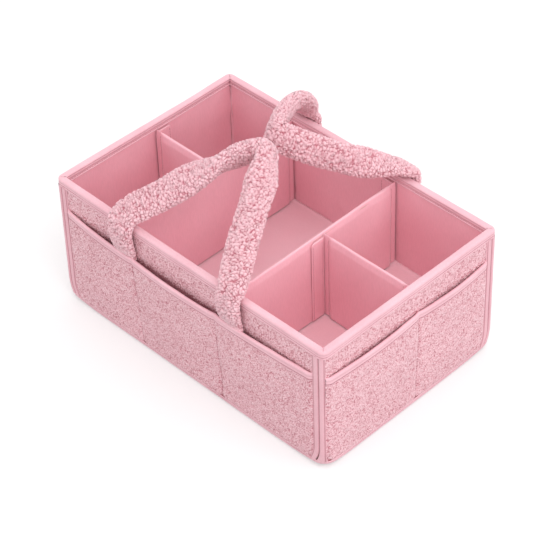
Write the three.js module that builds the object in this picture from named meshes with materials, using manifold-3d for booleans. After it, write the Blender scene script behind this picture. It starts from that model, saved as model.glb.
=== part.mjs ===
// Fleece caddy with five compartments, outside pockets, two padded handles and removable dividers.
// Millimetres, +Z up. The origin is the middle of the base, X runs along the box and -Y is its front.
import * as THREE from 'three';
import { mergeVertices } from 'three/addons/utils/BufferGeometryUtils.js';
import Module from 'manifold-3d';

const wasm = await Module();
wasm.setup();

// Box, measured over the rim binding
const length = 380;
const width = 250;
const height = 160;
const cornerRadius = 7;
const creaseRadius = 1;
const cornerPull = 9;
const cornerPullHeight = 30;

// Layers of a wall, from the outside in, and the gap kept between pieces that touch
const clearance = 0.3;
const tapeThickness = 1.2;
const fleeceThickness = 1.8;
const wallBoardThickness = 2.2;
const liningThickness = 0.8;

// Layers of the base
const baseFabricThickness = 1.2;
const baseBoardThickness = 3;
const basePadThickness = 38;

// Bindings of the rim, the base and the four upright corners
const rimOuterDrop = 9;
const rimInnerDrop = 8.5;
const rimRound = 3;
const baseBindingHeight = 7;
const baseBindingReach = 10;
const baseRound = 6.5;
const cornerGroove = 1.2;
const cornerTapeWidth = 7.5;
const seamSetback = 0.5;

// Outside pockets
const pocketDrop = 34;
const pocketTapeHeight = 7;
const pocketTapeThickness = 0.6;
const pressedFleeceThickness = 1;
const pocketEndGape = 0.8;
const pocketOpeningPowerShare = 1.6;

// Handles, each hinged at its two feet over the rim
const handleCoverThickness = 2;
const handleCoreClearance = 0.8;
const handleHalfWidth = 15;
const handleHalfThickness = 7.5;
const neckHalfWidth = 14.5;
const neckHalfThickness = 4.5;
const neckLength = 22;
const neckPitch = 22;
const hingeRise = 4;
const footTuck = 34;
const footBottomThickness = 2.6;
const footBottomHalfWidth = 12;
const footMouthThickness = 5.4;
const footMouthRise = 5;
const footBevelShare = 1.2;
const footCutShare = 0.25;

// Dividers and the hook-and-loop flaps at their ends
const dividerThickness = 6.5;
const dividerDrop = 8;
const dividerBoardThickness = 3.6;
const dividerEndZone = 9;
const dividerEndTaper = 8.4;
const dividerTipThickness = 2.6;
const leftCrossX = -88;
const rightCrossX = 60;
const endDividerY = 8;
const flapWidth = 17;
const flapThickness = 1.4;
const flapTopRadius = 8;
const flapTopDrop = 4;
const flapLift = 1.5;
const cutOverrun = 5;

// Facet counts
const cornerSteps = 6;
const pocketSectionSteps = 6;
const handleSides = 12;
const legRings = [2, 4, 4, 4, 4, 4];
const crownSteps = 4;

// Directions
const quarterTurn = Math.PI / 2;
const eighthTurn = Math.PI / 4;

// Depths below the outside face of the bindings
const coverDepth = tapeThickness + clearance;
const coverBack = coverDepth + fleeceThickness;
const boardDepth = coverBack + clearance;
const boardBack = boardDepth + wallBoardThickness;
const liningDepth = boardBack + clearance;
const liningBack = liningDepth + liningThickness;
const rimBack = liningBack + clearance + tapeThickness;

// Heights
const wallFoot = baseRound;
const wallTop = height - rimRound;
const baseBoardBottom = baseFabricThickness + clearance;
const baseBoardTop = baseBoardBottom + baseBoardThickness;
const basePadBottom = baseBoardTop + clearance;
const basePadTop = basePadBottom + basePadThickness;
const baseLiningBottom = basePadTop + clearance;
const floorTop = baseLiningBottom + liningThickness;
const stripBottom = baseBindingHeight + clearance;
const stripTop = height - rimOuterDrop - clearance;
const pocketTop = height - pocketDrop;
const footBottom = pocketTop - footTuck;
const hingeZ = height + hingeRise;
const hingeY = width / 2 + clearance + 2 * neckHalfThickness;
const dividerBottom = floorTop + clearance;
const dividerTop = height - dividerDrop;
const dividerEndDepth = rimBack + clearance;
const besideCross = dividerThickness / 2 + clearance;

// The four walls, going round anticlockwise, with the direction each runs along
const walls = {
  right: { index: 0, along: 'y' },
  back: { index: 1, along: 'x' },
  left: { index: 2, along: 'y' },
  front: { index: 3, along: 'x' },
};

// Each corner follows the wall of its own number, and its seam stands on one of its two walls
const corners = [
  { name: 'back_right', signs: { x: 1, y: 1 }, before: 'right', after: 'back', seamOn: 'right' },
  { name: 'back_left', signs: { x: -1, y: 1 }, before: 'back', after: 'left', seamOn: 'left' },
  { name: 'front_left', signs: { x: -1, y: -1 }, before: 'left', after: 'front', seamOn: 'front' },
  { name: 'front_right', signs: { x: 1, y: -1 }, before: 'front', after: 'right', seamOn: 'front' },
];

// The two handles: where their feet stand, where the tip lies, how far it reaches and how it leans,
// how far each leg bows out of the handle's plane and sinks beside its foot, and from and to what
// distance off the tip it twists
const handles = {
  front: {
    side: -1,
    feet: [-85, 68],
    tip: 6,
    reach: 143,
    lean: 32,
    bows: [4, 3],
    sinks: [0, 0],
    twists: [[85, 25], [58, 8]],
  },
  back: {
    side: 1,
    feet: [-76, 65],
    tip: -23,
    reach: 120,
    lean: 28,
    bows: [21, -6],
    sinks: [0, 1],
    twists: [[110, 25], [135, 75]],
  },
};

// Pocket seams stand beside the handle feet, and the bulge is what each section adds between seams
const seamBesideLeftFoot = 13;
const seamBesideRightFoot = -21;
const longSeamGape = 7;
const longBulges = [6, 3, 1.6];
const shortSeamGape = 1.5;
const shortBulges = [4.5, 4.5];
const shortSeam = 8;
const handleSeams = (feet) => [feet[0] + seamBesideLeftFoot, feet[1] + seamBesideRightFoot];
const pockets = {
  front: { seams: handleSeams(handles.front.feet), seamGape: longSeamGape, bulges: longBulges },
  back: { seams: handleSeams(handles.back.feet), seamGape: longSeamGape, bulges: longBulges },
  left: { seams: [shortSeam], seamGape: shortSeamGape, bulges: shortBulges },
  right: { seams: [shortSeam], seamGape: shortSeamGape, bulges: shortBulges },
};

const materials = {
  fleece: new THREE.MeshStandardMaterial({ color: 0xe3a3ac, roughness: 1, metalness: 0 }),
  sherpa: new THREE.MeshStandardMaterial({ color: 0xeeb4bc, roughness: 1, metalness: 0 }),
  tape: new THREE.MeshStandardMaterial({ color: 0xf0a8b2, roughness: 0.7, metalness: 0 }),
  lining: new THREE.MeshStandardMaterial({ color: 0xdf8a96, roughness: 0.55, metalness: 0 }),
  board: new THREE.MeshStandardMaterial({ color: 0xb59a78, roughness: 0.9, metalness: 0 }),
  padding: new THREE.MeshStandardMaterial({ color: 0xf4f1ea, roughness: 1, metalness: 0 }),
};

// Closed bodies from points and triangles

function closedGeometry(points, faces) {
  let volume = 0;
  for (let i = 0; i < faces.length; i += 3) {
    const [a, b, c] = [points[faces[i]], points[faces[i + 1]], points[faces[i + 2]]];
    volume += a.dot(new THREE.Vector3().crossVectors(b, c));
  }
  const index = volume < 0 ? faces.toReversed() : faces;
  const geometry = new THREE.BufferGeometry();
  geometry.setAttribute('position', new THREE.Float32BufferAttribute(points.flatMap((p) => p.toArray()), 3));
  geometry.setIndex(index);
  return geometry;
}

// A sheet of some thickness between two grids of points, which may close on itself either way
function sheet(outer, inner, { wrapRows = false, wrapColumns = false } = {}) {
  const rows = outer.length;
  const columns = outer[0].length;
  const points = [...outer.flat(), ...inner.flat()];
  const at = (face, row, column) => (face * rows + (row % rows)) * columns + (column % columns);
  const faces = [];
  const quad = (a, b, c, d) => faces.push(a, b, c, a, c, d);
  const rowSpans = wrapRows ? rows : rows - 1;
  const columnSpans = wrapColumns ? columns : columns - 1;
  for (let r = 0; r < rowSpans; r += 1) {
    for (let c = 0; c < columnSpans; c += 1) {
      quad(at(0, r, c), at(0, r, c + 1), at(0, r + 1, c + 1), at(0, r + 1, c));
      quad(at(1, r, c), at(1, r + 1, c), at(1, r + 1, c + 1), at(1, r, c + 1));
    }
  }
  for (let c = 0; c < columnSpans && !wrapRows; c += 1) {
    quad(at(0, 0, c), at(1, 0, c), at(1, 0, c + 1), at(0, 0, c + 1));
    quad(at(0, rowSpans, c), at(0, rowSpans, c + 1), at(1, rowSpans, c + 1), at(1, rowSpans, c));
  }
  for (let r = 0; r < rowSpans && !wrapColumns; r += 1) {
    quad(at(0, r, 0), at(0, r + 1, 0), at(1, r + 1, 0), at(1, r, 0));
    quad(at(0, r, columnSpans), at(1, r, columnSpans), at(1, r + 1, columnSpans), at(0, r + 1, columnSpans));
  }
  return closedGeometry(points, faces);
}

// A solid bar through a row of convex rings
function bar(rings) {
  const sides = rings[0].length;
  const points = rings.flat();
  const faces = [];
  for (let r = 0; r < rings.length - 1; r += 1) {
    for (let i = 0; i < sides; i += 1) {
      const a = r * sides + i;
      const b = r * sides + ((i + 1) % sides);
      faces.push(a, b, b + sides, a, b + sides, a + sides);
    }
  }
  const last = (rings.length - 1) * sides;
  for (let i = 1; i < sides - 1; i += 1) {
    faces.push(0, i + 1, i);
    faces.push(last, last + i, last + i + 1);
  }
  return closedGeometry(points, faces);
}

function toSolid(geometry) {
  const bare = geometry.clone();
  bare.deleteAttribute('normal');
  bare.deleteAttribute('uv');
  const merged = mergeVertices(bare);
  const vertProperties = new Float32Array(merged.attributes.position.array);
  const triVerts = new Uint32Array(merged.index.array);
  return new wasm.Manifold(new wasm.Mesh({ numProp: 3, vertProperties, triVerts }));
}

function fromSolid(solid) {
  const mesh = solid.getMesh();
  const geometry = new THREE.BufferGeometry();
  geometry.setAttribute('position', new THREE.BufferAttribute(mesh.vertProperties, 3));
  geometry.setIndex(new THREE.BufferAttribute(mesh.triVerts, 1));
  return geometry;
}

function addMesh(group, name, geometry, material) {
  const mesh = new THREE.Mesh(geometry, material);
  mesh.name = name;
  group.add(mesh);
  return mesh;
}

// Places on the round-cornered box, given by depth below its outside face

// The corners are drawn in towards the base, and no layer turns sharper than a crease
function layerRadius(depth, z) {
  const pull = Math.max(1 - z / cornerPullHeight, 0) ** 2;
  return Math.max(cornerRadius + cornerPull * pull - depth, creaseRadius);
}

function cornerPoint(corner, angle, depth, z) {
  const { signs } = corners[corner];
  const radius = layerRadius(depth, z);
  return new THREE.Vector3(
    signs.x * (length / 2 - depth - radius) + radius * Math.cos(angle),
    signs.y * (width / 2 - depth - radius) + radius * Math.sin(angle),
    z,
  );
}

function perimeterRing(depth, z) {
  const ring = [];
  for (let corner = 0; corner < corners.length; corner += 1) {
    for (let i = 0; i <= cornerSteps; i += 1) {
      ring.push(cornerPoint(corner, (corner + i / cornerSteps) * quarterTurn, depth, z));
    }
  }
  return ring;
}

// Half the flat stretch of a wall, between the round corners
function flatHalf(wall, z) {
  const half = wall.along === 'x' ? length / 2 : width / 2;
  return half - layerRadius(0, z);
}

// A point on a wall's flat stretch, by its place along the box, its depth and its height
function flatPoint(wall, along, depth, z) {
  const facing = wall.index * quarterTurn;
  const point = cornerPoint(wall.index, facing, depth, z);
  point[wall.along] = along;
  return point;
}

// A wall's outline at one of its corners, from the end of its flat stretch to a gap short of the seam
function wallEdge(wall, corner, depth, gap, z) {
  const { signs, seamOn } = corners[corner];
  const seamWall = walls[seamOn];
  if (wall === seamWall) {
    const seam = flatHalf(wall, z) - seamSetback;
    return [flatPoint(wall, signs[wall.along] * (seam - gap), depth, z)];
  }
  const start = Math.asin(Math.max(gap - seamSetback, 0) / layerRadius(depth, z));
  const sweep = (wall.index === corner ? 1 : -1) * (quarterTurn - start);
  const edge = [];
  for (let i = 0; i <= cornerSteps; i += 1) {
    edge.push(cornerPoint(corner, wall.index * quarterTurn + (sweep * i) / cornerSteps, depth, z));
  }
  return edge;
}

function wallPlan(wall, depth, gap, z) {
  const cornerBefore = (wall.index + corners.length - 1) % corners.length;
  return [
    ...wallEdge(wall, cornerBefore, depth, gap, z).toReversed(),
    ...wallEdge(wall, wall.index, depth, gap, z),
  ];
}

// The heights at which a wall's layers bend with the drawn-in corners
function wallLevels(bottom, top) {
  const bendShares = [0.5, 0.75, 1];
  return [bottom, ...bendShares.map((share) => cornerPullHeight * share), top];
}

// Base

function basePlate(depth, bottom, thickness) {
  return bar([perimeterRing(depth, bottom), perimeterRing(depth, bottom + thickness)]);
}

// The foam that raises the floor follows the drawn-in corners of the walls round it
function basePad(depth) {
  const levels = wallLevels(basePadBottom, basePadTop);
  return bar(levels.map((z) => perimeterRing(depth, z)));
}

// A profile is a list of [depth, z] pairs, which runs round the whole box
function ringOf(outerProfile, innerProfile) {
  const rows = [];
  const innerRows = [];
  for (let corner = 0; corner < corners.length; corner += 1) {
    for (let i = 0; i <= cornerSteps; i += 1) {
      const angle = (corner + i / cornerSteps) * quarterTurn;
      rows.push(outerProfile.map(([depth, z]) => cornerPoint(corner, angle, depth, z)));
      innerRows.push(innerProfile.map(([depth, z]) => cornerPoint(corner, angle, depth, z)));
    }
  }
  return sheet(rows, innerRows, { wrapRows: true });
}

// Points on an arc of a profile, from one angle to another in eighths of a turn
function arcProfile(centreDepth, centreZ, radius, fromEighth, toEighth) {
  const points = [];
  const step = Math.sign(toEighth - fromEighth);
  for (let k = fromEighth; k !== toEighth + step; k += step) {
    const angle = k * eighthTurn;
    points.push([centreDepth + radius * Math.cos(angle), centreZ + radius * Math.sin(angle)]);
  }
  return points;
}

function rimProfile(inset) {
  const radius = rimRound - inset;
  const centreZ = height - rimRound;
  return [
    [inset, height - rimOuterDrop],
    ...arcProfile(rimRound, centreZ, radius, 4, 2),
    ...arcProfile(rimBack - rimRound, centreZ, radius, 2, 0),
    [rimBack - inset, height - rimInnerDrop],
  ];
}

function baseBindingProfile(inset) {
  const radius = baseRound - inset;
  return [
    [inset, baseBindingHeight],
    ...arcProfile(baseRound, baseRound, radius, 4, 6),
    [baseBindingReach, inset],
  ];
}

function addBase(group) {
  const fabricDepth = baseBindingReach + clearance;
  const insideWalls = liningBack + clearance;
  addMesh(group, 'base_cover', basePlate(fabricDepth, 0, baseFabricThickness), materials.fleece);
  addMesh(group, 'base_board', basePlate(insideWalls, baseBoardBottom, baseBoardThickness), materials.board);
  addMesh(group, 'base_pad', basePad(insideWalls), materials.padding);
  addMesh(group, 'base_lining', basePlate(insideWalls, baseLiningBottom, liningThickness), materials.lining);
  const binding = ringOf(baseBindingProfile(0), baseBindingProfile(tapeThickness));
  addMesh(group, 'base_binding', binding, materials.tape);
}

// Walls: fleece outside, board in the middle, lining inside

function wrappedWall(wall, outerDepth, innerDepth, gap) {
  const levels = wallLevels(wallFoot, wallTop);
  const outer = levels.map((z) => wallPlan(wall, outerDepth, gap, z));
  const inner = levels.map((z) => wallPlan(wall, innerDepth, gap, z));
  return sheet(outer, inner);
}

function wallBoard(wall) {
  const levels = wallLevels(wallFoot, wallTop);
  const face = (depth) => levels.map((z) => [-1, 1].map((end) => flatPoint(wall, end * flatHalf(wall, z), depth, z)));
  return sheet(face(boardDepth), face(boardBack));
}

function addWalls(group) {
  const coverGap = cornerGroove / 2 + tapeThickness + clearance;
  const liningGap = seamSetback + clearance;
  for (const [name, wall] of Object.entries(walls)) {
    addMesh(group, `${name}_cover`, wrappedWall(wall, coverDepth, coverBack, coverGap), materials.fleece);
    addMesh(group, `${name}_board`, wallBoard(wall), materials.board);
    addMesh(group, `${name}_lining`, wrappedWall(wall, liningDepth, liningBack, liningGap), materials.lining);
  }
}

// Rim binding and the paired tapes of each upright corner

// One column of tape on the wall that carries the seam, which turns in at the seam
function flatTapeColumn(wall, corner, { depth, gap, z }) {
  const sign = corners[corner].signs[wall.along];
  const seam = flatHalf(wall, z) - seamSetback;
  const farEnd = seam - cornerGroove / 2 - cornerTapeWidth;
  return [
    flatPoint(wall, sign * farEnd, depth, z),
    flatPoint(wall, sign * (seam - gap), depth, z),
    flatPoint(wall, sign * (seam - gap), coverBack, z),
  ];
}

// One column of tape that laps round the corner from the other wall
function roundTapeColumn(wall, corner, { depth, gap, z }) {
  const lap = quarterTurn - cornerTapeWidth / cornerRadius;
  const turn = wall.index === corner ? 1 : -1;
  const at = (angle, layer) => cornerPoint(corner, wall.index * quarterTurn + turn * angle, layer, z);
  const seamAngle = (layer) => quarterTurn - Math.asin((gap - seamSetback) / layerRadius(layer, z));
  const column = [];
  for (let i = 0; i <= cornerSteps; i += 1) {
    column.push(at(lap + ((seamAngle(depth) - lap) * i) / cornerSteps, depth));
  }
  column.push(at(seamAngle(coverBack), coverBack));
  return column;
}

function cornerTape(wall, corner) {
  const column = wall === walls[corners[corner].seamOn] ? flatTapeColumn : roundTapeColumn;
  const levels = wallLevels(stripBottom, stripTop);
  const gap = cornerGroove / 2;
  const outer = levels.map((z) => column(wall, corner, { depth: 0, gap, z }));
  const inner = levels.map((z) => column(wall, corner, { depth: tapeThickness, gap: gap + tapeThickness, z }));
  return sheet(outer, inner);
}

function addBindings(group) {
  addMesh(group, 'rim_binding', ringOf(rimProfile(0), rimProfile(tapeThickness)), materials.tape);
  corners.forEach(({ name, before, after }, corner) => {
    for (const wallName of [before, after]) {
      addMesh(group, `${name}_corner_tape_${wallName}`, cornerTape(walls[wallName], corner), materials.tape);
    }
  });
}

// Pockets: fleece panels that hang open at the top between their seams

// How far a pocket reaches along its wall towards one corner: up to that corner's tape
function pocketReach(wall, corner, z) {
  const flat = flatHalf(wall, z);
  const tape = seamSetback + cornerGroove / 2 + cornerTapeWidth + clearance;
  return wall === walls[corners[corner].seamOn] ? flat - tape : flat;
}

// The corner at a wall's low end or high end, along X or Y
function cornerAt(wall, sign) {
  const cornerBefore = (wall.index + corners.length - 1) % corners.length;
  return corners[wall.index].signs[wall.along] === sign ? wall.index : cornerBefore;
}

function pocketStations(wall, pocket) {
  const [low, high] = [-1, 1].map((sign) => sign * pocketReach(wall, cornerAt(wall, sign), pocketTop));
  const edges = [low, ...pocket.seams, high];
  const stations = [];
  for (let s = 0; s < edges.length - 1; s += 1) {
    const span = edges[s + 1] - edges[s];
    const firstGape = s === 0 ? pocketEndGape : pocket.seamGape;
    const lastGape = s === edges.length - 2 ? pocketEndGape : pocket.seamGape;
    for (let i = s === 0 ? 0 : 1; i <= pocketSectionSteps; i += 1) {
      const share = i / pocketSectionSteps;
      const gape = firstGape + (lastGape - firstGape) * share + pocket.bulges[s] * Math.sin(Math.PI * share);
      stations.push({ along: edges[s] + span * share, gape });
    }
  }
  return stations;
}

// A point `out` millimetres outside the middle of a pocket's panel
function pocketPoint(wall, station, out, z) {
  const corner = cornerAt(wall, Math.sign(station.along));
  const along = (station.along * pocketReach(wall, corner, z)) / pocketReach(wall, corner, pocketTop);
  const share = (z - stripBottom) / (pocketTop - stripBottom);
  const gape = station.gape * Math.max(share, 0) ** pocketOpeningPowerShare;
  const middleDepth = coverDepth - clearance - fleeceThickness / 2;
  return flatPoint(wall, along, middleDepth - gape - out, z);
}

function pocketPanel(wall, stations) {
  const fleeceTop = pocketTop - pocketTapeThickness - clearance;
  const pressedFrom = pocketTop - pocketTapeHeight;
  const fullTo = pressedFrom - fleeceThickness / 2;
  const openShares = [0, 0.3, 0.55, 0.8, 1];
  const rows = openShares.map((share) => ({
    z: stripBottom + (fullTo - stripBottom) * share,
    out: fleeceThickness / 2,
  }));
  rows.push({ z: pressedFrom, out: pressedFleeceThickness / 2 });
  rows.push({ z: fleeceTop, out: pressedFleeceThickness / 2 });
  const face = (sign) => rows.map((row) => stations.map((s) => pocketPoint(wall, s, sign * row.out, row.z)));
  return sheet(face(1), face(-1));
}

function pocketTape(wall, stations) {
  const profile = (inset) => {
    const half = pressedFleeceThickness / 2 + clearance + pocketTapeThickness - inset;
    const top = pocketTop - inset;
    const bottom = pocketTop - pocketTapeHeight;
    return [
      [half, bottom],
      [half, top - half / 2],
      [half / 2, top],
      [-half / 2, top],
      [-half, top - half / 2],
      [-half, bottom],
    ];
  };
  const face = (inset) => stations.map((s) => profile(inset).map(([out, z]) => pocketPoint(wall, s, out, z)));
  return sheet(face(0), face(pocketTapeThickness));
}

function addPockets(group) {
  for (const [name, pocket] of Object.entries(pockets)) {
    const wall = walls[name];
    const stations = pocketStations(wall, pocket);
    addMesh(group, `${name}_pocket`, pocketPanel(wall, stations), materials.fleece);
    addMesh(group, `${name}_pocket_binding`, pocketTape(wall, stations), materials.tape);
  }
}

// Handle feet: the flattened ends of the handles, sewn to the wall inside the pocket

// A flat ring with cut corners, whose height falls towards the wall by the bevel
function footRing(x, side, { z, halfWidth, depth, thickness, bevel = 0 }) {
  const inner = width / 2 - depth;
  const cut = thickness * footCutShare;
  const outline = [
    [halfWidth, thickness - cut], [halfWidth - cut, thickness],
    [cut - halfWidth, thickness], [-halfWidth, thickness - cut],
    [-halfWidth, cut], [cut - halfWidth, 0],
    [halfWidth - cut, 0], [halfWidth, cut],
  ];
  return outline.map(([along, out]) => new THREE.Vector3(
    x + along,
    side * (inner + out),
    z - bevel * (thickness - out),
  ));
}

function handleFoot(x, side) {
  const overCover = coverDepth - clearance;
  const neckThickness = 2 * neckHalfThickness;
  const rings = [
    { z: footBottom, halfWidth: footBottomHalfWidth, depth: overCover, thickness: footBottomThickness },
    { z: pocketTop, halfWidth: neckHalfWidth, depth: overCover, thickness: footMouthThickness },
    {
      z: pocketTop + footMouthRise,
      halfWidth: neckHalfWidth,
      depth: overCover,
      thickness: footMouthThickness + overCover,
    },
    { z: stripTop - tapeThickness, halfWidth: neckHalfWidth, depth: -clearance, thickness: neckThickness },
    {
      z: hingeZ - clearance,
      halfWidth: neckHalfWidth,
      depth: -clearance,
      thickness: neckThickness,
      bevel: footBevelShare,
    },
  ];
  return bar(rings.map((ring) => footRing(x, side, ring)));
}

// Handles: a padded flat tube that rises over the rim, twists on edge and turns back at its tip

// The middle line, as the ends of its stretches, with the hinge axis as X and the tube leaning along Y
function handlePoints({ side, feet, tip, reach, bows, sinks }) {
  const pitch = THREE.MathUtils.degToRad(neckPitch);
  const startOut = neckHalfThickness * Math.sin(pitch);
  const startRise = -neckHalfThickness * Math.cos(pitch);
  const neckOut = startOut + (neckLength / 2) * Math.cos(pitch);
  const neckRise = startRise + (neckLength / 2) * Math.sin(pitch);
  const neckSinkShare = 0.7;
  const legShares = [
    [0.27, 0.345, 0.75, 1],
    [0.48, 0.575, 1, 0.35],
    [0.7, 0.8, 0.7, 0],
    [0.85, 0.925, 0.35, 0],
  ];
  const leg = (foot, bow, sink) => [
    new THREE.Vector3(foot, -side * startOut, startRise),
    new THREE.Vector3(foot, -side * neckOut, neckRise - sink * neckSinkShare),
    ...legShares.map(([across, out, rise, drop]) => new THREE.Vector3(
      foot + (tip - foot) * across,
      -side * reach * out,
      bow * rise - sink * drop,
    )),
  ];
  const [left, right] = feet.map((foot, i) => leg(foot, bows[i], sinks[i]));
  return [...left, new THREE.Vector3(tip, -side * reach, 0), ...right.toReversed()];
}

function handleStations(handle) {
  const points = handlePoints(handle);
  const spans = points.length - 1;
  const tip = spans / 2;
  const path = new THREE.CatmullRomCurve3(points, false, 'centripetal');
  const ringsPerSpan = [...legRings, ...legRings.toReversed()];
  const places = ringsPerSpan.flatMap((rings, span) => Array.from({ length: rings }, (_, i) => span + i / rings));
  const up = new THREE.Vector3(0, 0, 1);
  return [...places, spans].map((place) => {
    const point = path.getPoint(place / spans);
    const tangent = path.getTangent(place / spans);
    const across = new THREE.Vector3().crossVectors(up, tangent).normalize();
    const normal = new THREE.Vector3().crossVectors(tangent, across);
    const [untwisted, twisted] = handle.twists[place < tip ? 0 : 1];
    const fromTip = point.distanceTo(points[tip]);
    const twist = quarterTurn * (1 - THREE.MathUtils.smoothstep(fromTip, twisted, untwisted));
    across.applyAxisAngle(tangent, handle.side * twist);
    normal.applyAxisAngle(tangent, handle.side * twist);
    const fromFoot = Math.min(point.distanceTo(points[0]), point.distanceTo(points[spans]));
    const swell = THREE.MathUtils.smoothstep(fromFoot, 0, neckLength);
    return {
      point,
      across,
      normal,
      halfWidth: THREE.MathUtils.lerp(neckHalfWidth, handleHalfWidth, swell),
      halfThickness: THREE.MathUtils.lerp(neckHalfThickness, handleHalfThickness, swell),
    };
  });
}

function handleRing(station, inset) {
  const ring = [];
  for (let i = 0; i < handleSides; i += 1) {
    const angle = (i / handleSides) * 2 * Math.PI;
    ring.push(station.point.clone()
      .addScaledVector(station.across, (station.halfWidth - inset) * Math.cos(angle))
      .addScaledVector(station.normal, (station.halfThickness - inset) * Math.sin(angle)));
  }
  return ring;
}

function addHandle(group, name, handle) {
  const stations = handleStations(handle);
  const outer = stations.map((station) => handleRing(station, 0));
  const inner = stations.map((station) => handleRing(station, handleCoverThickness));
  const core = stations.map((station) => handleRing(station, handleCoverThickness + handleCoreClearance));
  const swing = new THREE.Group();
  swing.position.set(0, handle.side * hingeY, hingeZ);
  swing.rotation.x = -handle.side * THREE.MathUtils.degToRad(handle.lean);
  group.add(swing);
  addMesh(swing, `${name}_handle_cover`, sheet(outer, inner, { wrapColumns: true }), materials.sherpa);
  addMesh(swing, `${name}_handle_core`, bar(core), materials.padding);
}

function addHandles(group) {
  for (const [name, handle] of Object.entries(handles)) {
    ['left', 'right'].forEach((hand, i) => {
      const foot = handleFoot(handle.feet[i], handle.side);
      addMesh(group, `${name}_handle_${hand}_foot`, foot, materials.sherpa);
    });
    addHandle(group, name, handle);
  }
}

// Dividers: a board in a sewn sleeve, drawn along X from its start to its stop, with a flap at each

const crossEnd = width / 2 - dividerEndDepth;
const sideEnd = length / 2 - dividerEndDepth;
const crossEnds = { start: -crossEnd, stop: crossEnd, flaps: ['front', 'back'], flapSide: 1 };
const dividers = {
  left_cross: { place: [leftCrossX, 0], turn: quarterTurn, ...crossEnds },
  right_cross: { place: [rightCrossX, 0], turn: quarterTurn, ...crossEnds },
  left_end: {
    place: [0, endDividerY],
    turn: 0,
    start: -sideEnd,
    stop: leftCrossX - besideCross,
    flaps: ['outer', 'inner'],
    flapSide: 1,
  },
  right_end: {
    place: [0, endDividerY],
    turn: 0,
    start: rightCrossX + besideCross,
    stop: sideEnd,
    flaps: ['inner', 'outer'],
    flapSide: -1,
  },
};

function dividerRing(x, halfThickness) {
  const shoulder = dividerTop - halfThickness;
  const ring = [new THREE.Vector3(x, -halfThickness, dividerBottom)];
  for (let i = 0; i <= crownSteps; i += 1) {
    const angle = (i / crownSteps) * Math.PI;
    const z = shoulder + halfThickness * Math.sin(angle);
    ring.push(new THREE.Vector3(x, -halfThickness * Math.cos(angle), z));
  }
  ring.push(new THREE.Vector3(x, halfThickness, dividerBottom));
  return ring;
}

function boxBetween(low, high) {
  const box = new THREE.BoxGeometry(high[0] - low[0], high[1] - low[1], high[2] - low[2]);
  return box.translate((low[0] + high[0]) / 2, (low[1] + high[1]) / 2, (low[2] + high[2]) / 2);
}

// The board and the slot that holds it, which is open below
function dividerSlot({ start, stop }, gap, below) {
  const halfThickness = dividerBoardThickness / 2 + gap;
  const boardTop = dividerTop - dividerThickness / 2;
  return boxBetween(
    [start + dividerEndZone - gap, -halfThickness, dividerBottom - below],
    [stop - dividerEndZone + gap, halfThickness, boardTop + gap],
  );
}

function dividerSleeve(divider) {
  const { start, stop } = divider;
  const full = dividerThickness / 2;
  const tip = dividerTipThickness / 2;
  const outside = bar([
    dividerRing(start, tip),
    dividerRing(start + dividerEndTaper, full),
    dividerRing(stop - dividerEndTaper, full),
    dividerRing(stop, tip),
  ]);
  return fromSolid(toSolid(outside).subtract(toSolid(dividerSlot(divider, clearance, cutOverrun))));
}

// A flap lies flat on the wall beside the divider's end; its root is rounded about its fold
function dividerFlap(divider, atStart) {
  const middle = atStart ? divider.start + flapThickness / 2 : divider.stop - flapThickness / 2;
  const half = flapThickness / 2;
  const fold = dividerTipThickness / 2 + clearance + half;
  const bottom = floorTop + flapLift;
  const top = dividerTop - flapTopDrop;
  const roundFrom = flapWidth - flapTopRadius;
  const cornerShares = [0, 0.4, 0.75, 1];
  const columns = [
    { out: -half * Math.sin(eighthTurn), half: half * Math.cos(eighthTurn), top },
    { out: 0, half, top },
    ...cornerShares.map((share) => ({
      out: roundFrom + flapTopRadius * share,
      half,
      top: top - flapTopRadius * (1 - Math.sqrt(1 - share * share)),
    })),
  ];
  const face = (sign) => [0, 1].map((level) => columns.map((column) => new THREE.Vector3(
    middle + sign * column.half,
    divider.flapSide * (fold + column.out),
    bottom + (column.top - bottom) * level,
  )));
  return sheet(face(1), face(-1));
}

function addDividers(group) {
  for (const [name, divider] of Object.entries(dividers)) {
    const panel = new THREE.Group();
    panel.position.set(divider.place[0], divider.place[1], 0);
    panel.rotation.z = divider.turn;
    group.add(panel);
    addMesh(panel, `${name}_divider_sleeve`, dividerSleeve(divider), materials.lining);
    addMesh(panel, `${name}_divider_board`, dividerSlot(divider, 0, 0), materials.board);
    divider.flaps.forEach((flap, i) => {
      addMesh(panel, `${name}_divider_${flap}_flap`, dividerFlap(divider, i === 0), materials.lining);
    });
  }
}

const caddy = new THREE.Group();
caddy.name = 'fleece_caddy';
addBase(caddy);
addWalls(caddy);
addBindings(caddy);
addPockets(caddy);
addHandles(caddy);
addDividers(caddy);

export default caddy;
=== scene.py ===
"""Looks of the fleece caddy: curly handles, nubby walls and pockets, satin lining and stitched tapes."""
import itertools
import math

import bpy
import numpy as np
from mathutils import Matrix, Vector


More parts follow.
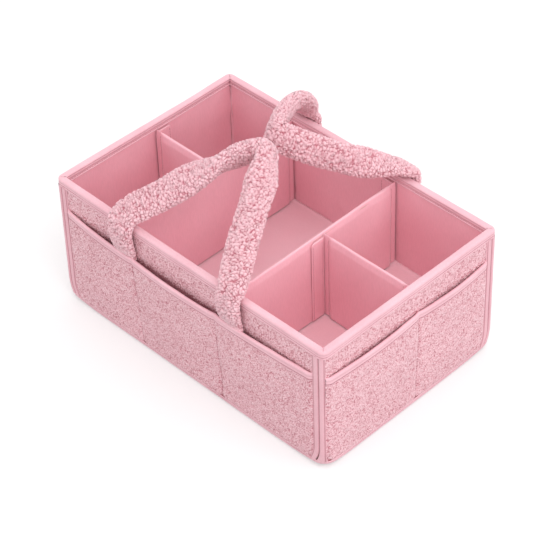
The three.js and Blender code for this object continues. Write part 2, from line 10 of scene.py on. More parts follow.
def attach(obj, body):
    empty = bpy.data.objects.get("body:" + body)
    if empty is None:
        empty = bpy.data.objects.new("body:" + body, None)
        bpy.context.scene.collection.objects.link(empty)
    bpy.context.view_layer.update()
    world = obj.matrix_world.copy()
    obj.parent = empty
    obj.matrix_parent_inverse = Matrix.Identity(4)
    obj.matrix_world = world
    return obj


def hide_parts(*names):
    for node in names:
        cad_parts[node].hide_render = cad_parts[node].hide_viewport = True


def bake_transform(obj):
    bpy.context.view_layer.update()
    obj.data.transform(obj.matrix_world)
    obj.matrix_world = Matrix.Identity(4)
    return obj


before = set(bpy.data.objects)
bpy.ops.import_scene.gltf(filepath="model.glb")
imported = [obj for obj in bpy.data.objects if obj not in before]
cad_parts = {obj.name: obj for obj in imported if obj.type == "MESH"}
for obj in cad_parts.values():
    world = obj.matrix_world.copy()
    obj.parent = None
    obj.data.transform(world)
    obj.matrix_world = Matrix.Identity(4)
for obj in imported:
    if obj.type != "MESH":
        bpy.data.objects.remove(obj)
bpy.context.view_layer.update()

MM = 0.001
QUARTER = math.pi / 2
ORIGIN = np.zeros(3)
BOTH = (-1, 1)

# Box and its layers in millimetres, as in the CAD source
LENGTH = 380.0
WIDTH = 250.0
HEIGHT = 160.0
CORNER_RADIUS = 7.0
CREASE_RADIUS = 1.0
CORNER_PULL = 9.0
CORNER_PULL_HEIGHT = 30.0
SEAM_SETBACK = 0.5
GROOVE = 1.2
TAPE_WIDTH = 7.5
TAPE_THICKNESS = 1.2
COVER_DEPTH = 1.5
COVER_BACK = 3.3
LINING_BACK = 6.9
RIM_BACK = 8.4
WALL_FOOT = 6.5
WALL_TOP = 157.0
STRIP_BOTTOM = 7.3
STRIP_TOP = 150.7
FLOOR_TOP = 43.9

# Walls by number, anticlockwise, and the wall on which each corner's seam stands
WALLS = {"right": 0, "back": 1, "left": 2, "front": 3}
WALL_NAMES = tuple(WALLS)
CORNER_NAMES = ("back_right", "back_left", "front_left", "front_right")
SEAM_WALLS = (0, 2, 3, 3)


# Noise

CELL_FACTORS = (374761393, 668265263, 2147483647)
SEED_FACTOR = 1274126177
NEXT_FACTOR = 1103515245
NEXT_SHIFT = 12345
WORD = 0xFFFFFFFF
HALF_WORD = 0xFFFF
FAR = 9.0


def scatter(cell, seed):
    """Three even random numbers between 0 and 1 for each whole-numbered cell."""
    mixed = sum(cell[..., axis] * factor for axis, factor in enumerate(CELL_FACTORS))
    mixed = (mixed + seed * SEED_FACTOR) & WORD
    values = []
    for _ in range(3):
        mixed = ((mixed ^ (mixed >> 13)) * NEXT_FACTOR + NEXT_SHIFT) & WORD
        values.append(((mixed >> 8) & HALF_WORD) / HALF_WORD)
    return np.stack(values, axis=-1)


def nubs(points, size, seed):
    """Distances to the nearest and second nearest of one random spot per cell, in cells."""
    scaled = points / size
    base = np.floor(scaled).astype(np.int64)
    nearest = np.full(scaled.shape[:-1], FAR)
    second = nearest.copy()
    for step in itertools.product((-1, 0, 1), repeat=3):
        cell = base + np.array(step)
        distance = np.linalg.norm(scaled - cell - scatter(cell, seed), axis=-1)
        second = np.minimum(second, np.maximum(distance, nearest))
        nearest = np.minimum(nearest, distance)
    return nearest, second


def drift(points, size, seed):
    """Smooth noise between -1 and 1, three channels, that changes over about the given size."""
    scaled = points / size
    base = np.floor(scaled).astype(np.int64)
    part = scaled - base
    part = part * part * (3 - 2 * part)
    total = np.zeros(scaled.shape[:-1] + (3,))
    for step in itertools.product((0, 1), repeat=3):
        weight = np.ones(scaled.shape[:-1])
        for axis, offset in enumerate(step):
            weight = weight * (part[..., axis] if offset else 1 - part[..., axis])
        total += weight[..., None] * scatter(base + np.array(step), seed)
    return 2 * total - 1


def waves(points, layers, seed):
    """One channel of smooth noise, added up from layers of (height, size)."""
    return sum(height * drift(points, size, seed + i)[..., 0] for i, (height, size) in enumerate(layers))


def smoothstep(value, low, high):
    share = np.clip((value - low) / (high - low), 0, 1)
    return share * share * (3 - 2 * share)


def bell(distance, width):
    return np.exp(-((distance / width) ** 2))


# Meshes

def stack(x, y, z):
    """Points from their coordinates, which may be arrays of any shapes that go together."""
    return np.stack(np.broadcast_arrays(x, y, z), axis=-1)


def grid_normals(grid, wrap_rows=False, wrap_columns=False):
    """Unit normals of a grid of points."""
    def slope(axis, wrap):
        if wrap:
            return np.roll(grid, -1, axis) - np.roll(grid, 1, axis)
        return np.gradient(grid, axis=axis)
    normal = np.cross(slope(1, wrap_columns), slope(0, wrap_rows))
    return normal / np.maximum(np.linalg.norm(normal, axis=-1, keepdims=True), 1e-9)


def outward_normals(grid, centre, **wraps):
    """Unit normals that point away from a centre, and whether they had to be turned for that."""
    normals = grid_normals(grid, **wraps)
    turned = float(((grid - centre) * normals).sum()) <= 0
    return (-normals if turned else normals), turned


def tube_normals(grid, **wraps):
    """Outward normals of a grid whose rows are closed sections, and whether they had to be turned."""
    return outward_normals(grid, grid.mean(axis=1, keepdims=True), wrap_columns=True, **wraps)


def grid_faces(rows, columns, wrap_rows, wrap_columns):
    r = np.arange(rows if wrap_rows else rows - 1)[:, None]
    c = np.arange(columns if wrap_columns else columns - 1)[None, :]
    next_r = (r + 1) % rows
    next_c = (c + 1) % columns
    quads = [r * columns + c, r * columns + next_c, next_r * columns + next_c, next_r * columns + c]
    return np.stack(quads, axis=-1).reshape(-1, 4)


BASE_LIFT = 4.0
BASE_LIFT_REACH = 26.0
BASE_LIFT_HEIGHT = 40.0
RIM_LIFT = 3.2
RIM_LIFT_REACH = 170.0
RIM_LIFT_HEIGHT = 110.0


def settled(points):
    """The soft box as it stands: base corners a little off the floor, its rim higher at the front left."""
    x, y, z = points[..., 0], points[..., 1], points[..., 2]
    from_corner = np.hypot(np.abs(x) - LENGTH / 2, np.abs(y) - WIDTH / 2)
    base = BASE_LIFT * bell(from_corner, BASE_LIFT_REACH) * np.clip(1 - z / BASE_LIFT_HEIGHT, 0, 1) ** 2
    from_high = np.hypot(x + LENGTH / 2, y + WIDTH / 2)
    near_high = np.clip(1 - from_high / RIM_LIFT_REACH, 0, 1)
    rim = RIM_LIFT * near_high * smoothstep(z, HEIGHT - RIM_LIFT_HEIGHT, HEIGHT)
    lifted = points.copy()
    lifted[..., 2] += base + rim
    return lifted


def add_object(name, data):
    item = bpy.data.objects.new(name, data)
    bpy.context.scene.collection.objects.link(item)
    return item


def make_piece(name, points, faces, cloth, relief=None):
    """A smooth mesh from points in millimetres. A cloth is a material and its slot."""
    material, slot = cloth
    mesh = bpy.data.meshes.new(name)
    mesh.from_pydata((settled(points).reshape(-1, 3) * MM).tolist(), [], [list(map(int, f)) for f in faces])
    mesh.shade_smooth()
    mesh.materials.append(material)
    # The relief attribute carries pile height and painted shade tones, by which the materials darken the
    # colour in gaps and creases.
    if relief is not None:
        attribute = mesh.attributes.new("relief", "FLOAT", "POINT")
        attribute.data.foreach_set("value", relief.astype(np.float32).ravel())
    piece = add_object(name, mesh)
    return piece


def make_grid(name, grid, cloth, relief=None, flip=False, wrap_rows=False, wrap_columns=False):
    faces = grid_faces(grid.shape[0], grid.shape[1], wrap_rows, wrap_columns)
    if relief is not None:
        relief = np.broadcast_to(relief, grid.shape[:2])
    return make_piece(name, grid, faces[:, ::-1] if flip else faces, cloth, relief)


def add_cloth(name, grid, cloth, node, body="caddy", **look):
    """A grid of cloth that takes a node's place and rides its body."""
    piece = make_grid(name, grid, cloth, **look)
    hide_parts(node)
    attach(piece, body)
    return piece


# Materials

WHITE = (1.0, 1.0, 1.0)
SOFT_SPAN = (0.3, 0.7)
FINE_SPAN = (0.35, 0.65)
PILE_SPAN = (0.05, 0.45, 0.95)


class Nodes:
    """The node tree of a material or a world, with short calls to add and join nodes."""

    def __init__(self, owner):
        owner.use_nodes = True
        self.owner = owner
        self.tree = owner.node_tree
        self.place = self.add("ShaderNodeTexCoord").outputs["Object"]

    def set(self, node, inputs):
        """Gives sockets of a node a value each, or a link from another socket."""
        for key, value in inputs.items():
            if isinstance(value, bpy.types.NodeSocket):
                self.tree.links.new(value, node.inputs[key])
            else:
                node.inputs[key].default_value = value

    def add(self, kind, inputs=None, **settings):
        node = self.tree.nodes.new(kind)
        for key, value in settings.items():
            setattr(node, key, value)
        self.set(node, inputs or {})
        return node

    def relief(self):
        return self.add("ShaderNodeAttribute", attribute_name="relief").outputs["Fac"]

    def noise(self, scale, detail=2.0, place=None):
        inputs = {"Vector": place or self.place, "Scale": scale, "Detail": detail}
        return self.add("ShaderNodeTexNoise", inputs).outputs["Fac"]

    def threads(self, scales):
        stretched = self.add("ShaderNodeMapping", {"Vector": self.place, "Scale": scales})
        return self.noise(scale=1.0, place=stretched.outputs["Vector"])

    def ramp(self, value, positions, colours):
        node = self.add("ShaderNodeValToRGB", {"Fac": value})
        elements = node.color_ramp.elements
        while len(elements) < len(positions):
            elements.new(0.5)
        for element, position, colour in zip(elements, positions, colours):
            element.position = position
            element.color = (*colour, 1)
        return node.outputs["Color"]

    def darkened(self, colour, value, span, dark):
        """A colour, times a dark tone where a value is low in its span."""
        inputs = {0: 1.0, 6: colour, 7: self.ramp(value, span, (dark, WHITE))}
        return self.add("ShaderNodeMix", inputs, data_type="RGBA", blend_type="MULTIPLY").outputs[2]

    def maths(self, operation, first, second):
        return self.add("ShaderNodeMath", {0: first, 1: second}, operation=operation).outputs[0]

    def bump(self, height, distance, strength, **normal):
        inputs = {"Height": height, "Distance": distance, "Strength": strength, **normal}
        return self.add("ShaderNodeBump", inputs).outputs["Normal"]

    def choose(self, output, seen, unseen_shader, seen_shader):
        """Gives an output one shader for the rays that are seen, and another for the rest."""
        chosen = self.add("ShaderNodeMixShader", {0: seen, 1: unseen_shader, 2: seen_shader}).outputs[0]
        self.set(self.tree.nodes[output], {"Surface": chosen})

    def finish(self, colour, normal, **values):
        inputs = {key.replace("_", " "): value for key, value in values.items()}
        inputs.update({"Base Color": colour, "Normal": normal})
        self.set(self.tree.nodes["Principled BSDF"], inputs)
        return self.owner


def new_material(name):
    return Nodes(bpy.data.materials.new(name))


def srgb(*channels):
    """A colour as it is seen, from 0 to 255 in each channel, as the shader wants it."""
    shares = [value / 255 for value in channels]
    return tuple(s / 12.92 if s <= 0.04045 else ((s + 0.055) / 1.055) ** 2.4 for s in shares)


def pile_material(name, colours, grain_size, patch_scale, grain_share):
    """Pile whose gaps are painted darker than its nubs, as shade, with finer grains, fibres and soft patches.
    """
    nodes = new_material(name)
    bent = nodes.add("ShaderNodeTexNoise", {"Vector": nodes.place, "Scale": 0.8 / grain_size, "Detail": 1.0})
    shift = nodes.add("ShaderNodeVectorMath", {0: bent.outputs["Color"], "Scale": 0.7 * grain_size},
                      operation="SCALE").outputs[0]
    place = nodes.add("ShaderNodeVectorMath", {0: nodes.place, 1: shift}, operation="ADD").outputs[0]
    grains = nodes.add("ShaderNodeTexVoronoi", {"Vector": place, "Scale": 1 / grain_size},
                       feature="F1").outputs["Distance"]
    fibres = nodes.noise(scale=2.2 / grain_size, detail=3.0)
    height = nodes.maths("SUBTRACT", nodes.maths("MULTIPLY", fibres, 0.5), grains)
    grain = nodes.maths("MULTIPLY", nodes.maths("ADD", height, 0.25), grain_share)
    # Painted shade: the colour runs from the dark gap colour where the relief and the grains are low to the
    # crown colour where they are high.
    colour = nodes.ramp(nodes.maths("ADD", nodes.relief(), grain), PILE_SPAN, colours)
    colour = nodes.darkened(colour, nodes.noise(patch_scale), SOFT_SPAN, (0.97, 0.96, 0.965))
    normal = nodes.bump(height, distance=0.45 * grain_size, strength=0.7)
    return nodes.finish(colour, normal, Roughness=0.95, Sheen_Weight=0.25, Sheen_Roughness=0.6,
                        Specular_IOR_Level=0.15)


def satin_material(name, low, high):
    """Smooth satin weave: fine upright threads, a soft gloss and shallow creases."""
    nodes = new_material(name)
    threads = nodes.threads((900.0, 900.0, 140.0))
    broad = nodes.noise(scale=14.0)
    colour = nodes.ramp(broad, SOFT_SPAN, (low, high))
    colour = nodes.darkened(colour, threads, FINE_SPAN, (0.95, 0.94, 0.94))
    folds = nodes.bump(nodes.noise(scale=13.0), distance=0.008, strength=0.4)
    creases = nodes.bump(nodes.noise(scale=45.0, detail=3.0), distance=0.0014, strength=0.4, Normal=folds)
    normal = nodes.bump(threads, distance=0.0001, strength=0.3, Normal=creases)
    roughness = nodes.maths("ADD", nodes.maths("MULTIPLY", broad, 0.12), 0.3)
    return nodes.finish(colour, normal, Roughness=roughness, Sheen_Weight=0.55, Sheen_Roughness=0.3,
                        Specular_IOR_Level=0.75)


def tape_material(name, low, high):
    """Close woven tape: fine ribs, a slight sheen and painted shade in its creases, where its relief is low.
    """
    nodes = new_material(name)
    ribs = nodes.threads((700.0, 700.0, 700.0))
    colour = nodes.ramp(nodes.noise(scale=30.0), SOFT_SPAN, (low, high))
    colour = nodes.darkened(colour, ribs, FINE_SPAN, (0.94, 0.93, 0.93))
    # Painted shade: the colour darkens where the relief attribute holds a crease's shade tone.
    colour = nodes.darkened(colour, nodes.relief(), (0.0, 1.0), (0.5, 0.3, 0.33))
    puckers = nodes.bump(nodes.noise(scale=160.0), distance=0.0006, strength=0.35)
    normal = nodes.bump(ribs, distance=0.0002, strength=0.5, Normal=puckers)
    return nodes.finish(colour, normal, Roughness=0.62, Sheen_Weight=0.3, Sheen_Roughness=0.5,
                        Specular_IOR_Level=0.35)


def grain_material(name, low, high, scale, detail, distance, strength, **values):
    """A plain material with one grain, which colours it and bumps it."""
    nodes = new_material(name)
    grain = nodes.noise(scale, detail)
    colour = nodes.ramp(grain, SOFT_SPAN, (low, high))
    return nodes.finish(colour, nodes.bump(grain, distance, strength), **values)


# The first colour of each pile is painted shade in the gaps between its nubs, and in the fleece also in the
# pocket depths; the last is the tone of the nub crowns.
FLEECE_COLOURS = (srgb(191, 106, 120), srgb(243, 191, 200), srgb(254, 215, 222))
SHERPA_COLOURS = (srgb(191, 110, 123), srgb(241, 189, 198), srgb(251, 207, 215))
FLEECE = (pile_material("nubby_fleece", FLEECE_COLOURS, grain_size=0.0014, patch_scale=26.0,
                        grain_share=0.75), "fleece")
SHERPA = (pile_material("curly_sherpa", SHERPA_COLOURS, grain_size=0.0011, patch_scale=40.0,
                        grain_share=0.22), "sherpa")
SATIN = (satin_material("satin_lining", srgb(247, 185, 197), srgb(251, 194, 205)), "lining")
# Painted light: the floor lining is the same satin in lighter, paler colours, standing in for the light its
# upward face reflects.
LIT_FLOOR_SATIN = (satin_material("satin_floor_lining_painted_light", srgb(251, 206, 215), srgb(253, 214, 222)), "lining")
TAPE = (tape_material("woven_tape", srgb(238, 184, 195), srgb(246, 196, 206)), "tape")
CORNER_TAPE = (tape_material("woven_corner_tape", srgb(234, 178, 189), srgb(241, 188, 198)), "tape")
THREAD = (grain_material("sewing_thread", srgb(182, 108, 122), srgb(204, 132, 146), scale=2500.0, detail=1.0,
                         distance=0.0001, strength=0.5, Roughness=0.6, Sheen_Weight=0.2), "tape")
BOARD = grain_material("stiff_board", srgb(176, 152, 122), srgb(196, 172, 142), scale=220.0, detail=3.0,
                       distance=0.0002, strength=0.4, Roughness=0.85)
PADDING = grain_material("soft_padding", srgb(232, 228, 220), srgb(246, 243, 238), scale=120.0, detail=3.0,
                         distance=0.002, strength=0.5, Roughness=0.95, Sheen_Weight=0.2)


# Stitches

STITCH_SPACING = 3.4
STITCH_LENGTH = 2.4
STITCH_RADIUS = 0.34
STITCH_SIDES = 5
STITCH_RINGS = ((-0.5, 0.25), (-0.36, 0.85), (0.0, 1.0), (0.36, 0.85), (0.5, 0.25))
STITCH_START = (0.31, 0.52, 0.79)


def along_line(points, spacing):
    """Evenly spaced places on a polyline, with the direction at each."""
    travelled = np.concatenate([[0], np.cumsum(np.linalg.norm(np.diff(points, axis=0), axis=1))])
    count = max(int(travelled[-1] / spacing), 1)
    places = (np.arange(count) + 0.5) * travelled[-1] / count
    spots, ahead, behind = (
        np.stack([np.interp(places + shift, travelled, points[:, k]) for k in range(3)], axis=1)
        for shift in (0.0, 0.5, -0.5))
    direction = ahead - behind
    return spots, direction / np.maximum(np.linalg.norm(direction, axis=1, keepdims=True), 1e-9)


def stitch_points(spot, direction):
    """Rings of a small rounded capsule."""
    side = np.cross(direction, STITCH_START)
    side /= np.linalg.norm(side)
    other = np.cross(direction, side)
    points = []
    for along, thick in STITCH_RINGS:
        for k in range(STITCH_SIDES):
            angle = 2 * math.pi * k / STITCH_SIDES
            offset = (side * math.cos(angle) + other * math.sin(angle)) * thick * STITCH_RADIUS
            points.append(spot + direction * along * STITCH_LENGTH + offset)
    return points


def stitch_faces(first):
    """Faces of a capsule whose points start at a number."""
    last = first + (len(STITCH_RINGS) - 1) * STITCH_SIDES
    faces = []
    for ring in range(first, last, STITCH_SIDES):
        for k in range(STITCH_SIDES):
            a = ring + k
            b = ring + (k + 1) % STITCH_SIDES
            faces.append((a, b, b + STITCH_SIDES, a + STITCH_SIDES))
    faces.append(tuple(first + k for k in reversed(range(STITCH_SIDES))))
    faces.append(tuple(last + k for k in range(STITCH_SIDES)))
    return faces


def add_stitches(name, lines, body="caddy"):
    """Rows of short threads that follow the lines."""
    points = []
    faces = []
    for line in lines:
        for spot, direction in zip(*along_line(np.asarray(line), STITCH_SPACING)):
            faces += stitch_faces(len(points))
            points += stitch_points(spot, direction)
    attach(make_piece(name, np.array(points), faces, THREAD), body)


# Places on the walls

ARC_STEPS = 10
CORNER_LAP = 0.93


def layer_radius(depth, z):
    pull = np.maximum(1 - z / CORNER_PULL_HEIGHT, 0) ** 2
    return np.maximum(CORNER_RADIUS + CORNER_PULL * pull - depth, CREASE_RADIUS)


def wall_halves(wall):
    """Half the box across a wall and along it."""
    return (LENGTH / 2, WIDTH / 2) if wall % 2 == 0 else (WIDTH / 2, LENGTH / 2)


def flat_half(wall, z):
    return wall_halves(wall)[1] - layer_radius(0.0, z)


def to_world(wall, along, out, z):
    facing = wall * QUARTER
    x = out * math.cos(facing) - along * math.sin(facing)
    y = out * math.sin(facing) + along * math.cos(facing)
    return stack(x, y, z)


def wall_point(wall, share, turn, depth, z):
    """A point on a wall's layer: share runs over its flat stretch, and turn is the angle past its end."""
    out_half, along_half = wall_halves(wall)
    radius = layer_radius(depth, z)
    round_along = np.sign(share) * (along_half - depth - radius * (1 - np.sin(turn)))
    along = np.where(turn > 0, round_along, share * flat_half(wall, z))
    out = out_half - depth - np.where(turn > 0, radius * (1 - np.cos(turn)), 0.0)
    return to_world(wall, along, out, z)


def corner_of(wall, end):
    """The corner at a wall's low or high anticlockwise end."""
    return wall if end > 0 else (wall - 1) % len(WALLS)


def seam_here(wall, end):
    """Whether the seam of the corner at a wall's end stands on that wall."""
    return SEAM_WALLS[corner_of(wall, end)] == wall


def wall_columns(wall, gap, step):
    """Shares and turns of the columns of a wall's layer, from seam to seam."""
    half = float(flat_half(wall, CORNER_PULL_HEIGHT))
    reach = [(half - SEAM_SETBACK - gap) / half if seam_here(wall, end) else 1.0 for end in BOTH]
    shares = np.linspace(-reach[0], reach[1], int(2 * half / step))
    turns = np.zeros_like(shares)
    bend = np.linspace(0, CORNER_LAP * QUARTER, ARC_STEPS + 1)[1:]
    if not seam_here(wall, -1):
        shares = np.concatenate([np.full(ARC_STEPS, -1.0), shares])
        turns = np.concatenate([bend[::-1], turns])
    if not seam_here(wall, 1):
        shares = np.concatenate([shares, np.full(ARC_STEPS, 1.0)])
        turns = np.concatenate([turns, bend])
    return shares, turns


def perimeter_columns(step):
    """Wall, share and turn of each column of a ring round the whole box."""
    columns = []
    for wall in range(len(WALLS)):
        count = int(2 * wall_halves(wall)[1] / step)
        columns += [(wall, share, 0.0) for share in np.linspace(-1, 1, count)]
        columns += [(wall, 1.0, turn) for turn in np.linspace(0, QUARTER, ARC_STEPS + 1)[1:-1]]
    return columns


def ring_grid(depth, z, step):
    """Depths and heights of a section, swept round the box."""
    return np.array([wall_point(*column, depth, z) for column in perimeter_columns(step)])


# Fleece on the walls, the pockets and the underside

WALL_STEP = 0.8
HIDDEN_STEP = 4.0
SEEN_IN_POCKET = 36.0
UNDER_RIM = 3.0
POCKET_SHADE = 0.8
SHADE_RISE = (9.0, 3.0)
FLEECE_NUB = 2.1
FLEECE_BEND = 0.55
FLEECE_BEND_SIZE = 1.9
FLEECE_GROUND = 0.22
FLEECE_CROWN = 0.72
FLEECE_CROWN_EDGE = 0.5
FLEECE_CLUMPS = ((0.07, 4.5),)
FLEECE_HEIGHT = 0.95
FLEECE_SINK = 0.35
UNDERSIDE_DEPTH = 10.3
UNDERSIDE_Z = 0.45
UNDERSIDE_STEP = 2.0
UNDERSIDE_PILE = 0.4


def fleece_relief(points):
    """Height of the short nubby pile, as a share of its full height."""
    bent = points + FLEECE_BEND * drift(points, FLEECE_BEND_SIZE, seed=5)
    nearest, second = nubs(bent, FLEECE_NUB, seed=3)
    crowns = smoothstep(second - nearest, 0.0, FLEECE_CROWN_EDGE) * np.clip(1.2 - 0.5 * nearest, 0, 1)
    return np.clip(FLEECE_GROUND + FLEECE_CROWN * crowns + waves(points, FLEECE_CLUMPS, seed=6), 0, 1)


def add_fleece(name, grid, node, shade=0.0):
    """Fleece with its pile, darkened by a share of painted shade at each point."""
    normals, turned = outward_normals(grid, ORIGIN)
    relief = fleece_relief(grid)
    moved = grid + normals * ((relief - FLEECE_SINK) * FLEECE_HEIGHT)[..., None]
    return add_cloth(name, moved, FLEECE, node, relief=np.clip(relief - shade, 0, 1), flip=turned)


def add_wall_cover(name, wall):
    shares, turns = wall_columns(wall, GROOVE / 2 + TAPE_THICKNESS, WALL_STEP)
    seen_from = POCKET_TOP - SEEN_IN_POCKET
    levels = np.concatenate([np.arange(WALL_FOOT, seen_from, HIDDEN_STEP),
                             np.arange(seen_from, STRIP_TOP + UNDER_RIM, WALL_STEP)])
    grid = wall_point(wall, shares, turns, COVER_DEPTH, levels[:, None])
    # Painted shade on the wall fleece inside each pocket: full from 9 mm under the pocket top, fading out by
    # 3 mm under it.
    shade_low, shade_high = (POCKET_TOP - rise for rise in SHADE_RISE)
    shade = POCKET_SHADE * (1 - smoothstep(grid[..., 2], shade_low, shade_high))
    piece = add_fleece(f"{name}_fleece_wall", grid, f"{name}_cover", shade)


def plate_grid(depth, z, step):
    """A level plate with the box's drawn-in corners, as rows of points along X."""
    half_x, half_y = LENGTH / 2 - depth, WIDTH / 2 - depth
    radius = float(layer_radius(depth, z))
    across = np.linspace(-half_x, half_x, int(2 * half_x / step))
    into_corner = np.maximum(np.abs(across) - (half_x - radius), 0)
    reach = half_y - radius + np.sqrt(np.maximum(radius ** 2 - into_corner ** 2, 0))
    return stack(across[:, None], reach[:, None] * np.linspace(-1, 1, int(2 * half_y / step)), z)


def add_underside():
    grid = plate_grid(UNDERSIDE_DEPTH, UNDERSIDE_Z, UNDERSIDE_STEP)
    relief = fleece_relief(grid)
    grid[..., 2] -= UNDERSIDE_PILE * relief
    piece = add_cloth("underside_fleece", grid, FLEECE, "base_cover", relief=relief)


# Linings

LINING_STEP = 3.0
LINING_GAP = 0.4
LINING_OUT = 0.1
LINING_UNDER_FLOOR = 2.0
LINING_UNDER_RIM = 6.0
LINING_HELD = 12.0
LINING_FOLDS = ((1.3, 52.0), (0.7, 20.0))
LINING_SINK = 0.2
FLOOR_LAP = 0.8
FLOOR_FOLDS = ((0.21, 48.0), (0.108, 17.0))
WELT = 1.3
WELT_IN = 2.6
WELT_WIDTH = 1.6
FLOOR_EDGE_DROP = 0.9
FLOOR_EDGE_REACH = 1.2


def add_wall_lining(name, wall):
    """A lining with shallow folds, which stand off the board and never sink far towards it."""
    shares, turns = wall_columns(wall, LINING_GAP, LINING_STEP)
    levels = np.linspace(FLOOR_TOP - LINING_UNDER_FLOOR, WALL_TOP - LINING_UNDER_RIM,
                         int(WALL_TOP / LINING_STEP))
    grid = wall_point(wall, shares, turns, LINING_BACK + LINING_OUT, levels[:, None])
    normals, turned = outward_normals(grid, ORIGIN)
    held = smoothstep(levels, FLOOR_TOP, FLOOR_TOP + LINING_HELD)[:, None, None]
    folds = waves(grid, LINING_FOLDS, 20 + wall)
    off_board = (folds + np.sqrt(folds ** 2 + 4 * LINING_SINK ** 2)) / 2 - LINING_SINK
    moved = grid + normals * held * off_board[..., None]
    piece = add_cloth(f"{name}_satin_lining", moved, SATIN, f"{name}_lining", flip=not turned)


def add_floor_lining():
    grid = plate_grid(LINING_BACK - FLOOR_LAP, FLOOR_TOP, LINING_STEP / 2)
    edge = np.minimum(LENGTH / 2 - LINING_BACK - np.abs(grid[..., 0]),
                      WIDTH / 2 - LINING_BACK - np.abs(grid[..., 1]))
    welt = WELT * bell(edge - WELT_IN, WELT_WIDTH)
    drop = FLOOR_EDGE_DROP * np.exp(-np.maximum(edge, 0) / FLOOR_EDGE_REACH)
    grid[..., 2] += waves(grid, FLOOR_FOLDS, seed=31) + welt - drop
    piece = add_cloth("floor_satin_lining", grid, LIT_FLOOR_SATIN, "base_lining", flip=True)


# Pockets

POCKET_TOP = 126.0
POCKET_TAPE_HEIGHT = 9.6
POCKET_TAPE_BOTTOM = POCKET_TOP - POCKET_TAPE_HEIGHT
POCKET_TAPE_HALF = 1.9
POCKET_TAPE_STEP = 2.0
MIDDLE_DEPTH = 0.3
END_GAPE = 0.8
OPENING_POWER = 1.6
TUCK = 2.8
TUCK_REACH = 3.6
END_LAP = 3.4
END_UNDER_TAPE = 1.2
SEAM_DIP = 1.7
SEAM_WIDTH = 3.0
PUFF = 1.6
PUFF_LOSS = 0.8
PUFF_REACH = 22.0
RIPPLES = ((0.9, 38.0),)
RIPPLE_SHIFT = 60.0
FLEECE_OUT = 0.9
PRESSED_IN = 0.8
FOOT_PRESSED = 1.6
FOOT_HEIGHT = 3.5
SEAM_STITCH_OUT = 1.15
SEAM_STITCH_LEVELS = 60
LONG_MOUTH = {"seam_gape": 6.4, "bulges": [2.4, 2.0, 1.2]}
SHORT_MOUTH = {"seam_gape": 1.5, "bulges": [3.4, 3.4]}
POCKETS = {
    "front": {"seams": [-72.0, 47.0], **LONG_MOUTH},
    "back": {"seams": [-63.0, 44.0], **LONG_MOUTH},
    "left": {"seams": [8.0], **SHORT_MOUTH},
    "right": {"seams": [8.0], **SHORT_MOUTH},
}


def wall_sign(wall):
    """The direction of a wall's anticlockwise run against X or Y."""
    return 1.0 if wall in (WALLS["right"], WALLS["front"]) else -1.0


def pocket_ends(wall):
    """The places along X or Y between which a pocket is sewn: under a corner tape, or round the corner."""
    half = float(flat_half(wall, POCKET_TOP))
    tape = SEAM_SETBACK + GROOVE / 2 + TAPE_WIDTH - END_UNDER_TAPE
    places = [end * (half - tape if seam_here(wall, end) else half + END_LAP) for end in BOTH]
    return sorted(wall_sign(wall) * place for place in places)


def pocket_gape(pocket, low, high, along):
    """How far the pocket's mouth stands off the wall, at places along X or Y."""
    edges = [low, *pocket["seams"], high]
    gape = np.zeros_like(along)
    for section, (start, stop) in enumerate(zip(edges[:-1], edges[1:])):
        share = (along - start) / (stop - start)
        first = END_GAPE if section == 0 else pocket["seam_gape"]
        last = END_GAPE if section == len(edges) - 2 else pocket["seam_gape"]
        inside = (share >= 0) & (share <= 1)
        height = first + (last - first) * share + pocket["bulges"][section] * np.sin(math.pi * share)
        gape = np.where(inside, height, gape)
    return gape


def pocket_surface(name, columns, out, z):
    """Points `out` millimetres outside a pocket's middle, for columns given from -1 to 1 along its mouth."""
    wall = WALLS[name]
    pocket = POCKETS[name]
    low, high = pocket_ends(wall)
    along = low + (columns + 1) / 2 * (high - low)
    share = np.maximum((z - STRIP_BOTTOM) / (POCKET_TOP - STRIP_BOTTOM), 0)
    middle = np.sin(math.pi * np.clip(share, 0, 1))
    gape = pocket_gape(pocket, low, high, along) * share ** OPENING_POWER
    dip = sum(bell(along - seam, SEAM_WIDTH) for seam in pocket["seams"])
    puff = PUFF
    for seam in (*pocket["seams"], low, high):
        puff = puff * (1 - PUFF_LOSS * bell(along - seam, PUFF_REACH))
    tuck = TUCK * (1 - smoothstep(np.minimum(along - low, high - along), 0.0, TUCK_REACH))
    ripple = waves(stack(along, RIPPLE_SHIFT * wall, z), RIPPLES, seed=45)
    rise = gape + out + (puff + ripple) * middle
    depth = MIDDLE_DEPTH - rise + SEAM_DIP * dip * (1 - 0.5 * share) + tuck
    narrowing = flat_half(wall, z) / flat_half(wall, POCKET_TOP)
    return to_world(wall, wall_sign(wall) * along * narrowing, wall_halves(wall)[0] - depth, z)


def pocket_columns(wall, step):
    low, high = pocket_ends(wall)
    return np.linspace(-1, 1, int((high - low) / step))


def add_pocket(name, wall):
    levels = np.linspace(STRIP_BOTTOM, POCKET_TAPE_BOTTOM + 1.5, int((POCKET_TOP - STRIP_BOTTOM) / WALL_STEP))
    at_foot = 1 - smoothstep(levels, STRIP_BOTTOM, STRIP_BOTTOM + FOOT_HEIGHT)
    pressed = smoothstep(levels, POCKET_TAPE_BOTTOM - 3, POCKET_TAPE_BOTTOM) + FOOT_PRESSED * at_foot
    out = FLEECE_OUT - PRESSED_IN * pressed
    grid = pocket_surface(name, pocket_columns(wall, WALL_STEP), out[:, None], levels[:, None])
    piece = add_fleece(f"{name}_fleece_pocket", grid, f"{name}_pocket")
    tape = add_pocket_tape(name, wall)
    low, high = pocket_ends(wall)
    add_pocket_seams(name, low, high)


def tape_wave(count, seed):
    """Small swellings along a sewn tape."""
    return waves(stack(np.arange(count) * 0.9, 0.0, 0.0), [(0.16, 7.0)], seed)


def outline(points):
    """Places, heights and shade tones of an outline. A tone under 1 is painted shade in a crease, and one
    that isn't given is 1.
    """
    return np.array([(*point, 1.0)[:3] for point in points]).T


